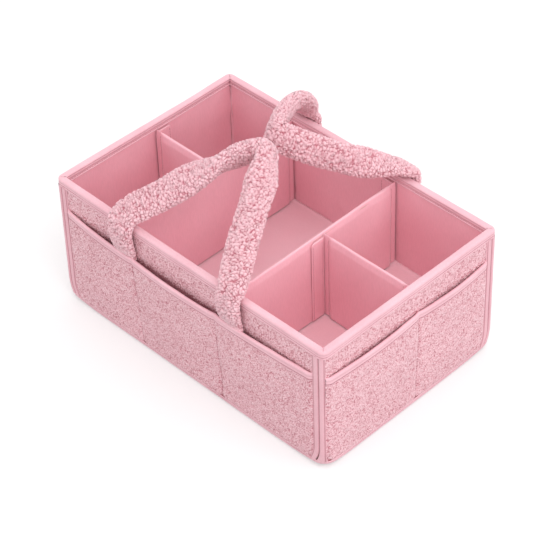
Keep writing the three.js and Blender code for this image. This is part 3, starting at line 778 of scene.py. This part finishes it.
def add_pocket_tape(name, wall):
    half = POCKET_TAPE_HALF
    top = POCKET_TOP
    bottom = POCKET_TAPE_BOTTOM
    # Tones under 1 are painted shade in the tape's grooves and creases, and on its side against the pocket.
    out, z, shade_tones = outline([
        (0.5, bottom + 0.7, 0.4), (half - 0.45, bottom - 0.1, 0.6), (half - 0.2, bottom + 0.4),
        (half - 0.3, bottom + 0.9, 0.9), (half - 0.85, bottom + 1.4, 0.2), (half - 0.85, bottom + 1.7, 0.2),
        (half - 0.3, bottom + 2.2, 0.9), (half - 0.25, bottom + 3.2), (half - 0.35, top - 4.6, 0.95),
        (half - 0.6, top - 4.0, 0.65), (half - 0.05, top - 3.2), (half + 0.15, top - 1.9),
        (half - 0.35, top - 0.8), (0.5, top - 0.1), (0.0, top), (-0.5, top - 0.1),
        (0.35 - half, top - 0.8, 0.8), (-half, top - 1.9, 0.5), (-half, bottom + 1.0, 0.3),
        (-half + 0.3, bottom, 0.3), (-0.5, bottom + 0.7, 0.3),
    ])
    columns = pocket_columns(wall, POCKET_TAPE_STEP)
    wave = tape_wave(len(columns), 40 + wall)[:, None]
    grid = pocket_surface(name, columns[:, None], out + wave * np.sign(out), z + wave)
    _, turned = outward_normals(grid[:, 6:10], np.array([0.0, 0.0, 60.0]))
    tape = add_cloth(f"{name}_pocket_tape", grid, TAPE, f"{name}_pocket_binding", relief=shade_tones,
                     wrap_columns=True, flip=turned)
    add_stitches(f"{name}_pocket_tape_stitches", [pocket_surface(name, columns, half - 0.4, bottom + 1.55)])
    return tape


def add_pocket_seams(name, low, high):
    levels = np.linspace(STRIP_BOTTOM + 2, POCKET_TAPE_BOTTOM - 1, SEAM_STITCH_LEVELS)
    columns = [np.full_like(levels, 2 * (seam - low) / (high - low) - 1) for seam in POCKETS[name]["seams"]]
    lines = [pocket_surface(name, column, SEAM_STITCH_OUT, levels) for column in columns]
    add_stitches(f"{name}_pocket_seam_stitches", lines)


# Tapes round the box and up its corners

RING_STEP = 3.0
RING_STITCH_STEP = 4.0
RIM_BEAD = 2.5
RIM_MITRE = 0.7
MITRE_WIDTH = 0.13
MITRE_SHADE = 0.6
MITRE_DEPTHS = (1.5, 4.0)
CORNER_STITCH_SHARE = 0.2
CORNER_STITCH_OUT = 0.3
CORNER_COLUMNS = 21
CORNER_LEVELS = 80
CORNER_DOME = 1.25
CORNER_CREASE = 0.6
CORNER_CREASE_SHADE = 0.75
CORNER_CREASE_WIDTH = 0.07


def arc(centre_depth, centre_z, radius, from_degrees, to_degrees, count):
    angles = np.radians(np.linspace(from_degrees, to_degrees, count))
    return [(centre_depth + radius * math.cos(a), centre_z + radius * math.sin(a)) for a in angles]


def add_ring(name, points, node, seed, mitre=0.0):
    """A tape round the box, from an outline of (depth, z) or (depth, z, tone), folded in at its corners by a
    mitre, if one is given, with painted shade in the fold.
    """
    depth, z, shade_tones = outline(points)
    grid = ring_grid(depth, z, RING_STEP)
    wave = tape_wave(len(grid), seed)
    wave += np.roll(wave[::-1], 7) * 0.4
    normals, turned = tube_normals(grid, wrap_rows=True)
    turns = np.array([turn for _, _, turn in perimeter_columns(RING_STEP)])
    fold = np.where(turns > 0, bell(turns - QUARTER / 2, MITRE_WIDTH), 0.0)
    notch = fold[:, None] * smoothstep(depth, *MITRE_DEPTHS) if mitre else np.zeros(grid.shape[:2])
    moved = grid + normals * (wave[:, None] - mitre * notch)[..., None]
    # Painted shade in the mitre fold darkens the tape's shade tones there.
    add_cloth(name, moved, TAPE, node, relief=shade_tones * (1 - MITRE_SHADE * notch), wrap_rows=True,
              wrap_columns=True, flip=turned)


def add_ring_stitches(name, depth, z):
    line = ring_grid(depth, z, RING_STITCH_STEP)
    add_stitches(name, [np.concatenate([line, line[:1]])])


def add_rim():
    top = HEIGHT
    bead = RIM_BEAD
    inner = RIM_BACK - bead
    # Tones under 1 are painted shade in the tape's edge, stitch groove, crease under the bead and inner
    # recess.
    points = [
        (0.9, top - 9.4, 0.4), (0.1, top - 9.0), (0.0, top - 8.2), (0.2, top - 7.7), (0.95, top - 7.2, 0.2),
        (0.95, top - 6.8, 0.2), (0.15, top - 6.2), (0.0, top - 5.6), (0.1, top - 4.8), (0.6, top - 4.2, 0.6),
        *arc(bead + 0.1, top - bead, bead, 205, 90, 8),
        (bead + 1.0, top - 0.05),
        *arc(inner, top - bead - 0.1, bead, 80, 25, 5),
        (inner + 1.7, top - 2.3, 0.5), (inner + 1.7, top - 2.7, 0.55), (inner + 2.3, top - 3.3),
        (inner + 2.3, top - 4.1, 0.95), (inner + 1.7, top - 4.9, 0.8), (inner + 1.5, top - 7.3, 0.75),
        (inner + 1.8, top - 7.9, 0.85), (inner + 2.2, top - 8.3), (inner + 2.4, top - 8.9),
        (inner + 2.1, top - 9.5), (inner + 1.2, top - 9.9, 0.5), (inner + 0.4, top - 9.5, 0.5),
        (LINING_BACK - 0.6, top - 4.6), (COVER_DEPTH + 0.6, top - 4.6), (COVER_DEPTH + 0.2, top - 8.4),
    ]
    add_ring("rim_tape", points, "rim_binding", seed=51, mitre=RIM_MITRE)
    add_ring_stitches("rim_tape_outer_stitches", 0.75, top - 7.0)
    add_ring_stitches("rim_tape_inner_stitches", inner + 1.6, top - 7.6)


def add_base_tape():
    # Tones under 1 are painted shade at the tape's top edge and in its stitch groove.
    points = [
        (0.9, 7.6, 0.4), (0.25, 7.3), (0.0, 6.5), (0.15, 5.9), (0.55, 5.4, 0.3), (0.35, 4.9),
        *arc(4.6, 4.3, 4.25, 180, 262, 7),
        (6.0, 0.15), (8.6, 0.1), (9.9, 0.2), (10.2, 0.9), (6.0, 1.4), (2.6, 2.6), (1.7, 5.0),
    ]
    add_ring("base_tape", points, "base_binding", seed=57)
    add_ring_stitches("base_tape_stitches", 0.35, 5.7)


def corner_tape_points(wall, end, share, depth, z):
    """Points across a corner tape: share 0 is its far edge and 1 is the seam."""
    if seam_here(wall, end):
        seam = flat_half(wall, z) - SEAM_SETBACK - GROOVE / 2
        return to_world(wall, end * (seam - TAPE_WIDTH * (1 - share)), wall_halves(wall)[0] - depth, z)
    start = QUARTER - TAPE_WIDTH / CORNER_RADIUS
    stop = QUARTER - 0.02
    return wall_point(wall, float(end), start + (stop - start) * share, depth, z)


def add_corner_tape(wall, end):
    shares = np.linspace(0, 1, CORNER_COLUMNS)
    crease = bell(shares - CORNER_STITCH_SHARE, CORNER_CREASE_WIDTH)
    dome = TAPE_THICKNESS * CORNER_DOME * (1 - np.abs(2 * shares - 1) ** 5) ** 0.5 - CORNER_CREASE * crease
    # Painted shade in the stitched crease, and dark shade tones at the edge tucked into the seam.
    shade_tones = np.concatenate([1 - CORNER_CREASE_SHADE * crease, [0.15, 0.0]])
    shares = np.concatenate([shares, [1.0, 1.0]])
    depths = np.concatenate([TAPE_THICKNESS - dome, [COVER_DEPTH + 0.9, COVER_BACK]])
    levels = np.linspace(STRIP_BOTTOM - 1.5, STRIP_TOP + 1.0, CORNER_LEVELS)
    wave = tape_wave(len(levels), 60 + wall + (end > 0) * 4) * 0.8
    grid = corner_tape_points(wall, end, shares, depths - wave[:, None], levels[:, None])
    _, turned = outward_normals(grid[:, 2:-2], np.array([0.0, 0.0, 80.0]))
    name = f"{CORNER_NAMES[corner_of(wall, end)]}_corner_tape_{WALL_NAMES[wall]}"
    add_cloth(f"{name}_cloth", grid, CORNER_TAPE, name, relief=shade_tones, flip=turned)
    line = corner_tape_points(wall, end, CORNER_STITCH_SHARE, CORNER_STITCH_OUT, levels)
    add_stitches(f"{name}_stitches", [line[2:-2]])


# Handles

HINGE_Y = 134.3
HINGE_Z = 164.0
NECK_LENGTH = 22.0
NECK_PITCH = math.radians(22.0)
NECK_HALF_THICKNESS = 4.5
NECK_SWOLLEN = 5.2
NECK_SWELL_REACH = (4.0, 30.0)
HANDLE_HALF_THICKNESS = 7.5
FOOT_HALF_WIDTH = 12.0
NECK_HALF_WIDTH = 14.5
HANDLE_HALF_WIDTH = 15.0
FOOT_RISES = (92.0, 110.0, 126.0, 138.0, 150.0, 160.0)
FOOT_OUTS = (125.1, 125.8, 127.5, 130.2, 131.6)
FOOT_HALF_THICKNESSES = (1.1, 1.9, 3.5, 5.2, 5.8, 5.2)
FOOT_BELOW_HINGE = 4.0
LEG_SHARES = [(0.27, 0.345, 0.75), (0.48, 0.575, 1.0), (0.7, 0.8, 0.7), (0.85, 0.925, 0.35)]
SINK_SHARES = (0.7, 1.0, 0.35, 0.0, 0.0)
BLEND_START = (0.1325, 0.146)
BLEND_END = (0.1265, 0.172)
STRAP_STEP = 0.72
BEND_STEP = 0.42
BEND_SPANS = 7
STRAP_SIDES = 104
STRAP_POWERS = (0.86, 0.9)
STRAP_THINNER = 0.5
WIDTH_LUMPS = ((0.05, 17.0),)
THICKNESS_LUMPS = ((0.07, 13.0),)
FULL_RISES = (150.0, 175.0)
SHERPA_NUB = 3.1
SHERPA_BENDS = ((1.1, 3.1), (0.4, 1.4))
SHERPA_GROUND = 0.06
SHERPA_CURL = 0.88
SHERPA_CURL_EDGE = 0.26
SHERPA_ROUNDNESS = 0.85
SHERPA_SHUT = 0.35
SHERPA_PATCHES = ((1.0, 3.0),)
SHERPA_FUZZ = ((0.06, 1.3),)
SHERPA_HEIGHT = 2.6
SHERPA_FOOT_HEIGHT = 0.35
SHERPA_SINK = 0.3
FLUFF = 0.12
FLUFF_SIZE = 0.9
HANDLES = {
    "front": {
        "side": -1.0, "feet": (-85.0, 68.0), "tip": 6.0, "reach": 143.0, "lean": 32.0,
        "bows": (4.0, 3.0), "twists": ((85.0, 25.0), (58.0, 8.0)), "fullness": 0.9, "sinks": (0.0, 0.0),
    },
    "back": {
        "side": 1.0, "feet": (-76.0, 65.0), "tip": -23.0, "reach": 120.0, "lean": 28.0,
        "bows": (21.0, -6.0), "twists": ((110.0, 25.0), (135.0, 75.0)), "fullness": 0.4, "sinks": (0.0, 1.0),
    },
}


def smooth_path(points, steps):
    """Centripetal spline through points, with a step for each span and the unit tangent at each station."""
    points = np.asarray(points, float)
    ends = [2 * points[0] - points[1], *points, 2 * points[-1] - points[-2]]
    stations = []
    for i in range(len(points) - 1):
        before, first, second, after = ends[i:i + 4]
        d0, d1, d2 = (max(np.linalg.norm(b - a) ** 0.5, 1e-4) for a, b in
                      ((before, first), (first, second), (second, after)))
        t1 = ((first - before) / d0 - (second - before) / (d0 + d1) + (second - first) / d1) * d1
        t2 = ((second - first) / d1 - (after - first) / (d1 + d2) + (after - second) / d2) * d1
        square = -3 * first + 3 * second - 2 * t1 - t2
        cube = 2 * first - 2 * second + t1 + t2
        count = max(int(np.linalg.norm(second - first) / steps[i]), 2)
        stations += [first + t1 * t + square * t ** 2 + cube * t ** 3 for t in np.arange(count) / count]
    stations = np.array([*stations, points[-1]])
    tangents = np.gradient(stations, axis=0)
    return stations, tangents / np.linalg.norm(tangents, axis=1, keepdims=True)


def lean_turn(handle):
    return -handle["side"] * math.radians(handle["lean"])


def from_lean(handle, x, y, z):
    """A point of the leaning handle's own frame, in the row frame."""
    turn = lean_turn(handle)
    return np.array([x, handle["side"] * HINGE_Y + y * math.cos(turn) - z * math.sin(turn),
                     HINGE_Z + y * math.sin(turn) + z * math.cos(turn)])


def tip_of(handle):
    return from_lean(handle, handle["tip"], -handle["side"] * handle["reach"], 0.0)


def strap_points(handle):
    side, reach, tip = handle["side"], handle["reach"], handle["tip"]
    start_out = NECK_HALF_THICKNESS * math.sin(NECK_PITCH)
    start_rise = -NECK_HALF_THICKNESS * math.cos(NECK_PITCH)
    neck_out = start_out + NECK_LENGTH / 2 * math.cos(NECK_PITCH)
    neck_rise = start_rise + NECK_LENGTH / 2 * math.sin(NECK_PITCH)
    legs = []
    for foot, bow, sink in zip(handle["feet"], handle["bows"], handle["sinks"]):
        leg = [np.array([foot, side * out, rise]) for out, rise in zip(FOOT_OUTS, FOOT_RISES)]
        leg.append(from_lean(handle, foot, -side * start_out, start_rise))
        leg.append(from_lean(handle, foot, -side * neck_out, neck_rise - sink * SINK_SHARES[0]))
        leg += [from_lean(handle, foot + (tip - foot) * across, -side * reach * out, bow * rise - sink * down)
                for (across, out, rise), down in zip(LEG_SHARES, SINK_SHARES[1:])]
        legs.append(leg)
    return [*legs[0], tip_of(handle), *legs[1][::-1]]


def strap_twist(handle, stations):
    """The turn of the strap about its own run, which grows towards the tip."""
    from_tip = np.linalg.norm(stations - tip_of(handle), axis=1)
    first_leg = np.arange(len(stations)) < np.argmin(from_tip)
    twists = [1 - smoothstep(from_tip, twisted, untwisted) for untwisted, twisted in handle["twists"]]
    return np.where(first_leg, *twists) * QUARTER * handle["side"]


def strap_halves(handle, stations):
    """Half the width and half the thickness of the strap at each station."""
    rise = stations[:, 2]
    in_foot = rise < HINGE_Z - FOOT_BELOW_HINGE
    from_neck = np.min([np.linalg.norm(stations - from_lean(handle, foot, 0, 0), axis=1)
                        for foot in handle["feet"]], axis=0)
    swell = smoothstep(from_neck, *NECK_SWELL_REACH)
    half_thickness = np.where(in_foot, np.interp(rise, FOOT_RISES, FOOT_HALF_THICKNESSES),
                              NECK_SWOLLEN + (HANDLE_HALF_THICKNESS - NECK_SWOLLEN) * swell)
    half_width = NECK_HALF_WIDTH + (HANDLE_HALF_WIDTH - NECK_HALF_WIDTH) * np.where(in_foot, 0.0, swell)
    widening = (NECK_HALF_WIDTH - FOOT_HALF_WIDTH) * smoothstep(rise, FOOT_RISES[0], POCKET_TOP)
    return np.where(rise < POCKET_TOP, FOOT_HALF_WIDTH + widening, half_width), half_thickness


def strap_grid(handle, seed):
    points = strap_points(handle)
    spans = len(points) - 1
    steps = [BEND_STEP if min(i, spans - 1 - i) < BEND_SPANS else STRAP_STEP for i in range(spans)]
    stations, tangents = smooth_path(points, steps)
    turn = lean_turn(handle)
    across = np.cross(np.array([0.0, -math.sin(turn), math.cos(turn)]), tangents)
    across /= np.linalg.norm(across, axis=1, keepdims=True)
    normal = np.cross(tangents, across)
    twist = strap_twist(handle, stations)[:, None]
    turned_across = across * np.cos(twist) + normal * np.sin(twist)
    turned_normal = normal * np.cos(twist) - across * np.sin(twist)
    half_width, half_thickness = strap_halves(handle, stations)
    fullness = handle["fullness"] * smoothstep(stations[:, 2], *FULL_RISES)
    half_width = half_width * (1 + waves(stations, WIDTH_LUMPS, seed)) + fullness
    half_thickness = half_thickness * (1 + waves(stations, THICKNESS_LUMPS, seed + 1))
    half_thickness = half_thickness + fullness - STRAP_THINNER
    angles = np.linspace(0, 2 * math.pi, STRAP_SIDES, endpoint=False)
    wide, thick = (np.sign(swing) * np.abs(swing) ** power
                   for swing, power in zip((np.cos(angles), np.sin(angles)), STRAP_POWERS))
    return (stations[:, None, :]
            + turned_across[:, None, :] * (half_width[:, None] * wide)[..., None]
            + turned_normal[:, None, :] * (half_thickness[:, None] * thick)[..., None])


def sherpa_relief(points):
    """Height of the curly long pile, as a share of its full height."""
    bent = points + sum(height * drift(points, size, 11 + i) for i, (height, size) in enumerate(SHERPA_BENDS))
    nearest, second = nubs(bent, SHERPA_NUB, seed=7)
    shut = SHERPA_SHUT * smoothstep(waves(points, SHERPA_PATCHES, seed=15), -0.2, 0.5)
    body = smoothstep(second - nearest, 0.0, SHERPA_CURL_EDGE)
    body = body + (1 - body) * shut
    crown = np.sqrt(np.clip(1.05 - (nearest / SHERPA_ROUNDNESS) ** 2, 0.04, 1))
    return np.clip(SHERPA_GROUND + SHERPA_CURL * body * crown + waves(points, SHERPA_FUZZ, seed=16), 0, 1)


def add_strap(name, handle, seed):
    """A handle's curly cover with its two feet, flat in the pocket and closed at both ends."""
    grid = strap_grid(handle, seed)
    relief = sherpa_relief(grid)
    normals, turned = tube_normals(grid)
    above_pocket = smoothstep(grid[..., 2], POCKET_TOP - 10, POCKET_TOP - 1)
    height = SHERPA_FOOT_HEIGHT + (SHERPA_HEIGHT - SHERPA_FOOT_HEIGHT) * above_pocket
    moved = grid + normals * ((relief - SHERPA_SINK) * height)[..., None]
    moved = moved + drift(grid, FLUFF_SIZE, seed + 3) * (FLUFF * above_pocket)[..., None]
    first, last = (np.broadcast_to(row.mean(axis=0), (1, *row.shape)) for row in (moved[0], moved[-1]))
    strap = make_grid(f"{name}_sherpa_strap", np.concatenate([first, moved, last]), SHERPA,
                      np.concatenate([relief[:1], relief, relief[-1:]]), wrap_columns=True, flip=turned)
    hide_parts(f"{name}_handle_cover", f"{name}_handle_left_foot", f"{name}_handle_right_foot")
    start, end = ((0, handle["side"] * out, rise) for out, rise in (BLEND_START, BLEND_END))
    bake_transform(strap)
    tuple(start)
    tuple(end)


# Dividers

DIVIDER_TOP = 152.0
TOP_ROUND = 2.2
DIVIDER_HALF = 3.25
TIP_HALF = 1.3
THINNEST = 0.6
DIVIDER_BOTTOM = 44.2
COLUMN_STEP = 2.2
SLEEVE_LEVELS = 52
SLEEVE_FOLDS = ((0.63, 60.0), (0.315, 23.0))
FOLD_REACH = (8.0, 22.0)
TOP_LOSS = 0.42
TOP_TAPER = (-9.0, -1.0)
SAG = 0.5
SAG_HEIGHT = 6.0
SAG_REACH = 40.0
TIP_SHARE = 0.35
BAND_WIDTH = 9.0
BAND_GROOVE = 0.45
BAND_GROOVE_IN = 2.5
BAND_GROOVE_WIDTH = 0.9
STITCH_LEVELS = 40
FLAP_WIDTH = 17.0
FLAP_HALF = 0.7
FLAP_FOLD = 2.3
FLAP_TOP = 149.0
FLAP_BOTTOM = 45.4
FLAP_RADIUS = 4.0
FLAP_SEAM = 2.0
FLAP_GROOVE = 0.25
FLAP_GROOVE_WIDTH = 0.6
LEFT_X = -88.0
RIGHT_X = 60.0
END_Y = 8.0
CROSS_END = 116.3
SIDE_END = 181.3
BESIDE = 3.55
CROSS = {"turn": QUARTER, "start": -CROSS_END, "stop": CROSS_END,
         "flaps": ("front", "back"), "flap_side": 1.0}
DIVIDERS = {
    "left_cross": {"place": (LEFT_X, 0.0), **CROSS},
    "right_cross": {"place": (RIGHT_X, 0.0), **CROSS},
    "left_end": {"place": (0.0, END_Y), "turn": 0.0, "start": -SIDE_END, "stop": LEFT_X - BESIDE,
                 "flaps": ("outer", "inner"), "flap_side": 1.0},
    "right_end": {"place": (0.0, END_Y), "turn": 0.0, "start": RIGHT_X + BESIDE, "stop": SIDE_END,
                  "flaps": ("inner", "outer"), "flap_side": -1.0},
}


def divider_place(divider, x, y, z):
    """Points of a divider's own frame, in the row frame."""
    turn = divider["turn"]
    middle_x, middle_y = divider["place"]
    return stack(middle_x + x * math.cos(turn) - y * math.sin(turn),
                 middle_y + x * math.sin(turn) + y * math.cos(turn), z)


def divider_half(divider, x):
    """Half the thickness of a divider: thin at its ends, and sewn down beside them."""
    from_end = np.minimum(x - divider["start"], divider["stop"] - x)
    swell = smoothstep(from_end, BAND_WIDTH - 3, BAND_WIDTH + 2.5)
    groove = BAND_GROOVE * bell(from_end - BAND_WIDTH + BAND_GROOVE_IN, BAND_GROOVE_WIDTH)
    return np.maximum(TIP_HALF + (DIVIDER_HALF - TIP_HALF) * swell - groove, THINNEST)


def divider_columns(start, stop):
    """Places along a divider, closer together near its ends."""
    from_end = np.concatenate([[0.0, 0.4, 1.0], np.linspace(1.4, 14, 18)])
    middle = np.linspace(start + 2, stop - 2, int((stop - start) / COLUMN_STEP))
    return np.unique(np.concatenate([start + from_end, stop - from_end, middle]))


def add_divider(name, divider, seed):
    start, stop = divider["start"], divider["stop"]
    x = divider_columns(start, stop)[:, None]
    shoulder = DIVIDER_TOP - TOP_ROUND
    levels = np.linspace(DIVIDER_BOTTOM + 1.0, shoulder, SLEEVE_LEVELS)
    crown = np.linspace(0, math.pi, 9)[1:-1]
    side = np.concatenate([-np.ones_like(levels), -np.cos(crown), np.ones_like(levels)])
    z = np.concatenate([levels, shoulder + TOP_ROUND * np.sin(crown), levels[::-1]])
    half = divider_half(divider, x) * (1 - TOP_LOSS * smoothstep(z - DIVIDER_TOP, *TOP_TAPER))
    sag = SAG * bell(x - (start + stop) / 2, SAG_REACH)
    height = z - np.where(z > DIVIDER_TOP - SAG_HEIGHT, sag, 0.0)
    tips = np.where((x < start + 0.2) | (x > stop - 0.2), TIP_SHARE, 1.0)
    y = half * side * tips
    folds = waves(divider_place(divider, x, y, height), SLEEVE_FOLDS, seed)
    y = y + folds * smoothstep(np.minimum(x - start, stop - x), *FOLD_REACH) * np.abs(side)
    grid = divider_place(divider, x, y, height)
    _, turned = outward_normals(grid, divider_place(divider, (start + stop) / 2, 0.0, 70.0))
    sleeve = add_cloth(f"{name}_divider_satin", grid, SATIN, f"{name}_divider_sleeve", f"{name}_divider",
                       flip=turned)
    heights = np.linspace(DIVIDER_BOTTOM + 2, DIVIDER_TOP - 5, STITCH_LEVELS)
    seam_in = BAND_WIDTH - BAND_GROOVE_IN
    lines = [divider_place(divider, seam, face * (divider_half(divider, seam) + 0.05), heights)
             for seam in (start + seam_in, stop - seam_in) for face in BOTH]
    add_stitches(f"{name}_divider_stitches", lines, f"{name}_divider")
    add_flap(f"{name}_divider_{divider['flaps'][0]}_flap", divider, start + FLAP_HALF)
    add_flap(f"{name}_divider_{divider['flaps'][1]}_flap", divider, stop - FLAP_HALF)


def add_flap(node, divider, middle):
    """A flap of two faces that meet at a rounded far edge, flat against the wall beside the divider."""
    out = np.concatenate([np.linspace(-0.4, 0.6, 4), np.linspace(1.2, FLAP_WIDTH - 0.6, 22),
                          [FLAP_WIDTH - 0.25, FLAP_WIDTH]])
    round_share = np.clip((out - (FLAP_WIDTH - FLAP_RADIUS)) / FLAP_RADIUS, 0, 1)
    top = FLAP_TOP - FLAP_RADIUS * (1 - np.sqrt(np.maximum(1 - round_share ** 2, 0.02)))
    thin = np.where(out > FLAP_WIDTH - 0.3, TIP_SHARE, 1.0) * np.where(out < 0, 0.6, 1.0)
    half = FLAP_HALF * thin - FLAP_GROOVE * bell(out - (FLAP_WIDTH - FLAP_SEAM), FLAP_GROOVE_WIDTH)
    both_out, both_half, both_top = (np.concatenate(pair) for pair in
                                     ((out, out[::-1]), (half, -half[::-1]), (top, top[::-1])))
    rows = np.concatenate([[0.0], np.linspace(0, 1, 60), [1.0]])[:, None]
    closing = np.ones_like(rows)
    closing[0] = closing[-1] = 0.0
    side = divider["flap_side"]
    grid = divider_place(divider, middle + both_half * closing, side * (FLAP_FOLD + both_out),
                         FLAP_BOTTOM + (both_top - FLAP_BOTTOM) * rows)
    _, turned = tube_normals(grid)
    piece = add_cloth(f"{node}_cloth", grid, SATIN, node, node, wrap_columns=True, flip=turned)
    heights = np.linspace(FLAP_BOTTOM + 2, FLAP_TOP - 4, STITCH_LEVELS)
    lines = [divider_place(divider, middle + face * (FLAP_HALF - 0.1), side * (FLAP_FOLD + place), heights)
             for place in (2.2, FLAP_WIDTH - FLAP_SEAM) for face in BOTH]
    add_stitches(f"{node}_stitches", lines, node)


# The object

HANDLE_SEED = 70
DIVIDER_SEED = 90

for wall_name, wall_number in WALLS.items():
    add_wall_cover(wall_name, wall_number)
    add_wall_lining(wall_name, wall_number)
    add_pocket(wall_name, wall_number)
    for tape_end in BOTH:
        add_corner_tape(wall_number, tape_end)
add_floor_lining()
add_underside()
add_rim()
add_base_tape()
for number, (handle_name, handle_facts) in enumerate(HANDLES.items()):
    add_strap(handle_name, handle_facts, HANDLE_SEED + 10 * number)
for number, (divider_name, divider_facts) in enumerate(DIVIDERS.items()):
    add_divider(divider_name, divider_facts, DIVIDER_SEED + 5 * number)

for node_name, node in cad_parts.items():
    finish = {"board": BOARD, "core": PADDING, "pad": PADDING}.get(node_name.rsplit("_", 1)[-1])
    if finish:
        node.data.materials.clear()
        node.data.materials.append(finish)


# Floor, light and camera, in metres and watts

FLOOR_HALF = 6.0
FLOOR_GREY = 0.62
FLOOR_GLOW = 0.36
WORLD_STRENGTH = 1.06
LAMP_AIM = Vector((0, 0, 0.1))
OPAQUE_WHITE = (1, 1, 1, 1)


def direction(azimuth, elevation):
    return Vector((math.sin(azimuth) * math.cos(elevation), -math.cos(azimuth) * math.cos(elevation),
                   math.sin(elevation)))


def area_light(name, azimuth, elevation, distance, size, power):
    data = bpy.data.lights.new(name, "AREA")
    data.shape = "DISK"
    data.size = size
    data.energy = power
    lamp = add_object(name, data)
    towards = direction(math.radians(azimuth), math.radians(elevation))
    lamp.location = towards * distance + LAMP_AIM
    lamp.rotation_euler = towards.to_track_quat("Z", "Y").to_euler()


def add_floor():
    """A grey floor that takes shadows, and glows to white only where the camera sees it."""
    corners = [(FLOOR_HALF * x, FLOOR_HALF * y, 0) for x, y in ((-1, -1), (1, -1), (1, 1), (-1, 1))]
    mesh = bpy.data.meshes.new("floor")
    mesh.from_pydata(corners, [], [(0, 1, 2, 3)])
    add_object("floor", mesh)
    nodes = new_material("pale_floor")
    nodes.tree.nodes.remove(nodes.tree.nodes["Principled BSDF"])
    grey = nodes.add("ShaderNodeBsdfDiffuse", {"Color": (FLOOR_GREY, FLOOR_GREY, FLOOR_GREY, 1)}).outputs[0]
    glow = nodes.add("ShaderNodeEmission", {"Color": OPAQUE_WHITE, "Strength": FLOOR_GLOW}).outputs[0]
    both = nodes.add("ShaderNodeAddShader", {0: grey, 1: glow}).outputs[0]
    seen = nodes.add("ShaderNodeLightPath").outputs["Is Camera Ray"]
    nodes.choose("Material Output", seen, grey, both)
    mesh.materials.append(nodes.owner)


def add_world():
    """A white world, a little stronger as a light than as a background."""
    world = bpy.data.worlds.new("studio")
    bpy.context.scene.world = world
    nodes = Nodes(world)
    light = nodes.tree.nodes["Background"]
    nodes.set(light, {"Color": OPAQUE_WHITE, "Strength": WORLD_STRENGTH})
    white = nodes.add("ShaderNodeBackground", {"Color": OPAQUE_WHITE, "Strength": 1.0})
    path = nodes.add("ShaderNodeLightPath").outputs
    seen = path["Is Camera Ray"]
    for kind in ("Is Glossy Ray", "Is Transmission Ray"):
        seen = nodes.maths("MAXIMUM", seen, path[kind])
    nodes.choose("World Output", seen, light.outputs[0], white.outputs[0])


CAMERA_AZIMUTH = math.radians(45.986)
CAMERA_ELEVATION = math.radians(41.832)
CAMERA_ROLL = math.radians(-1.884)
CAMERA_DISTANCE = 2402.83
CAMERA_AIM = (-2.027, 46.720)
PICTURE_SIZE = 550.0
FOCAL_PIXELS = 2279.14
SENSOR = 36.0
CLIP_END = 50


def add_camera():
    back = direction(CAMERA_AZIMUTH, CAMERA_ELEVATION)
    right = Vector((0, 0, 1)).cross(back).normalized()
    up = back.cross(right)
    cos, sin = math.cos(CAMERA_ROLL), math.sin(CAMERA_ROLL)
    right, up = cos * right + sin * up, cos * up - sin * right
    data = bpy.data.cameras.new("camera")
    data.sensor_fit = "HORIZONTAL"
    data.sensor_width = SENSOR
    data.lens = FOCAL_PIXELS / PICTURE_SIZE * SENSOR
    data.clip_end = CLIP_END
    camera = add_object("camera", data)
    turn = Matrix((right, up, back)).transposed()
    place = turn @ Vector((*CAMERA_AIM, CAMERA_DISTANCE)) * MM
    camera.matrix_world = Matrix.Translation(place) @ turn.to_4x4()
    bpy.context.scene.camera = camera


add_floor()
add_world()
area_light("key_light", azimuth=62, elevation=58, distance=2.6, size=1.1, power=12.0)
area_light("side_light", azimuth=100, elevation=30, distance=2.6, size=1.4, power=9.0)
add_camera()
bpy.context.scene.view_settings.view_transform = "Standard"
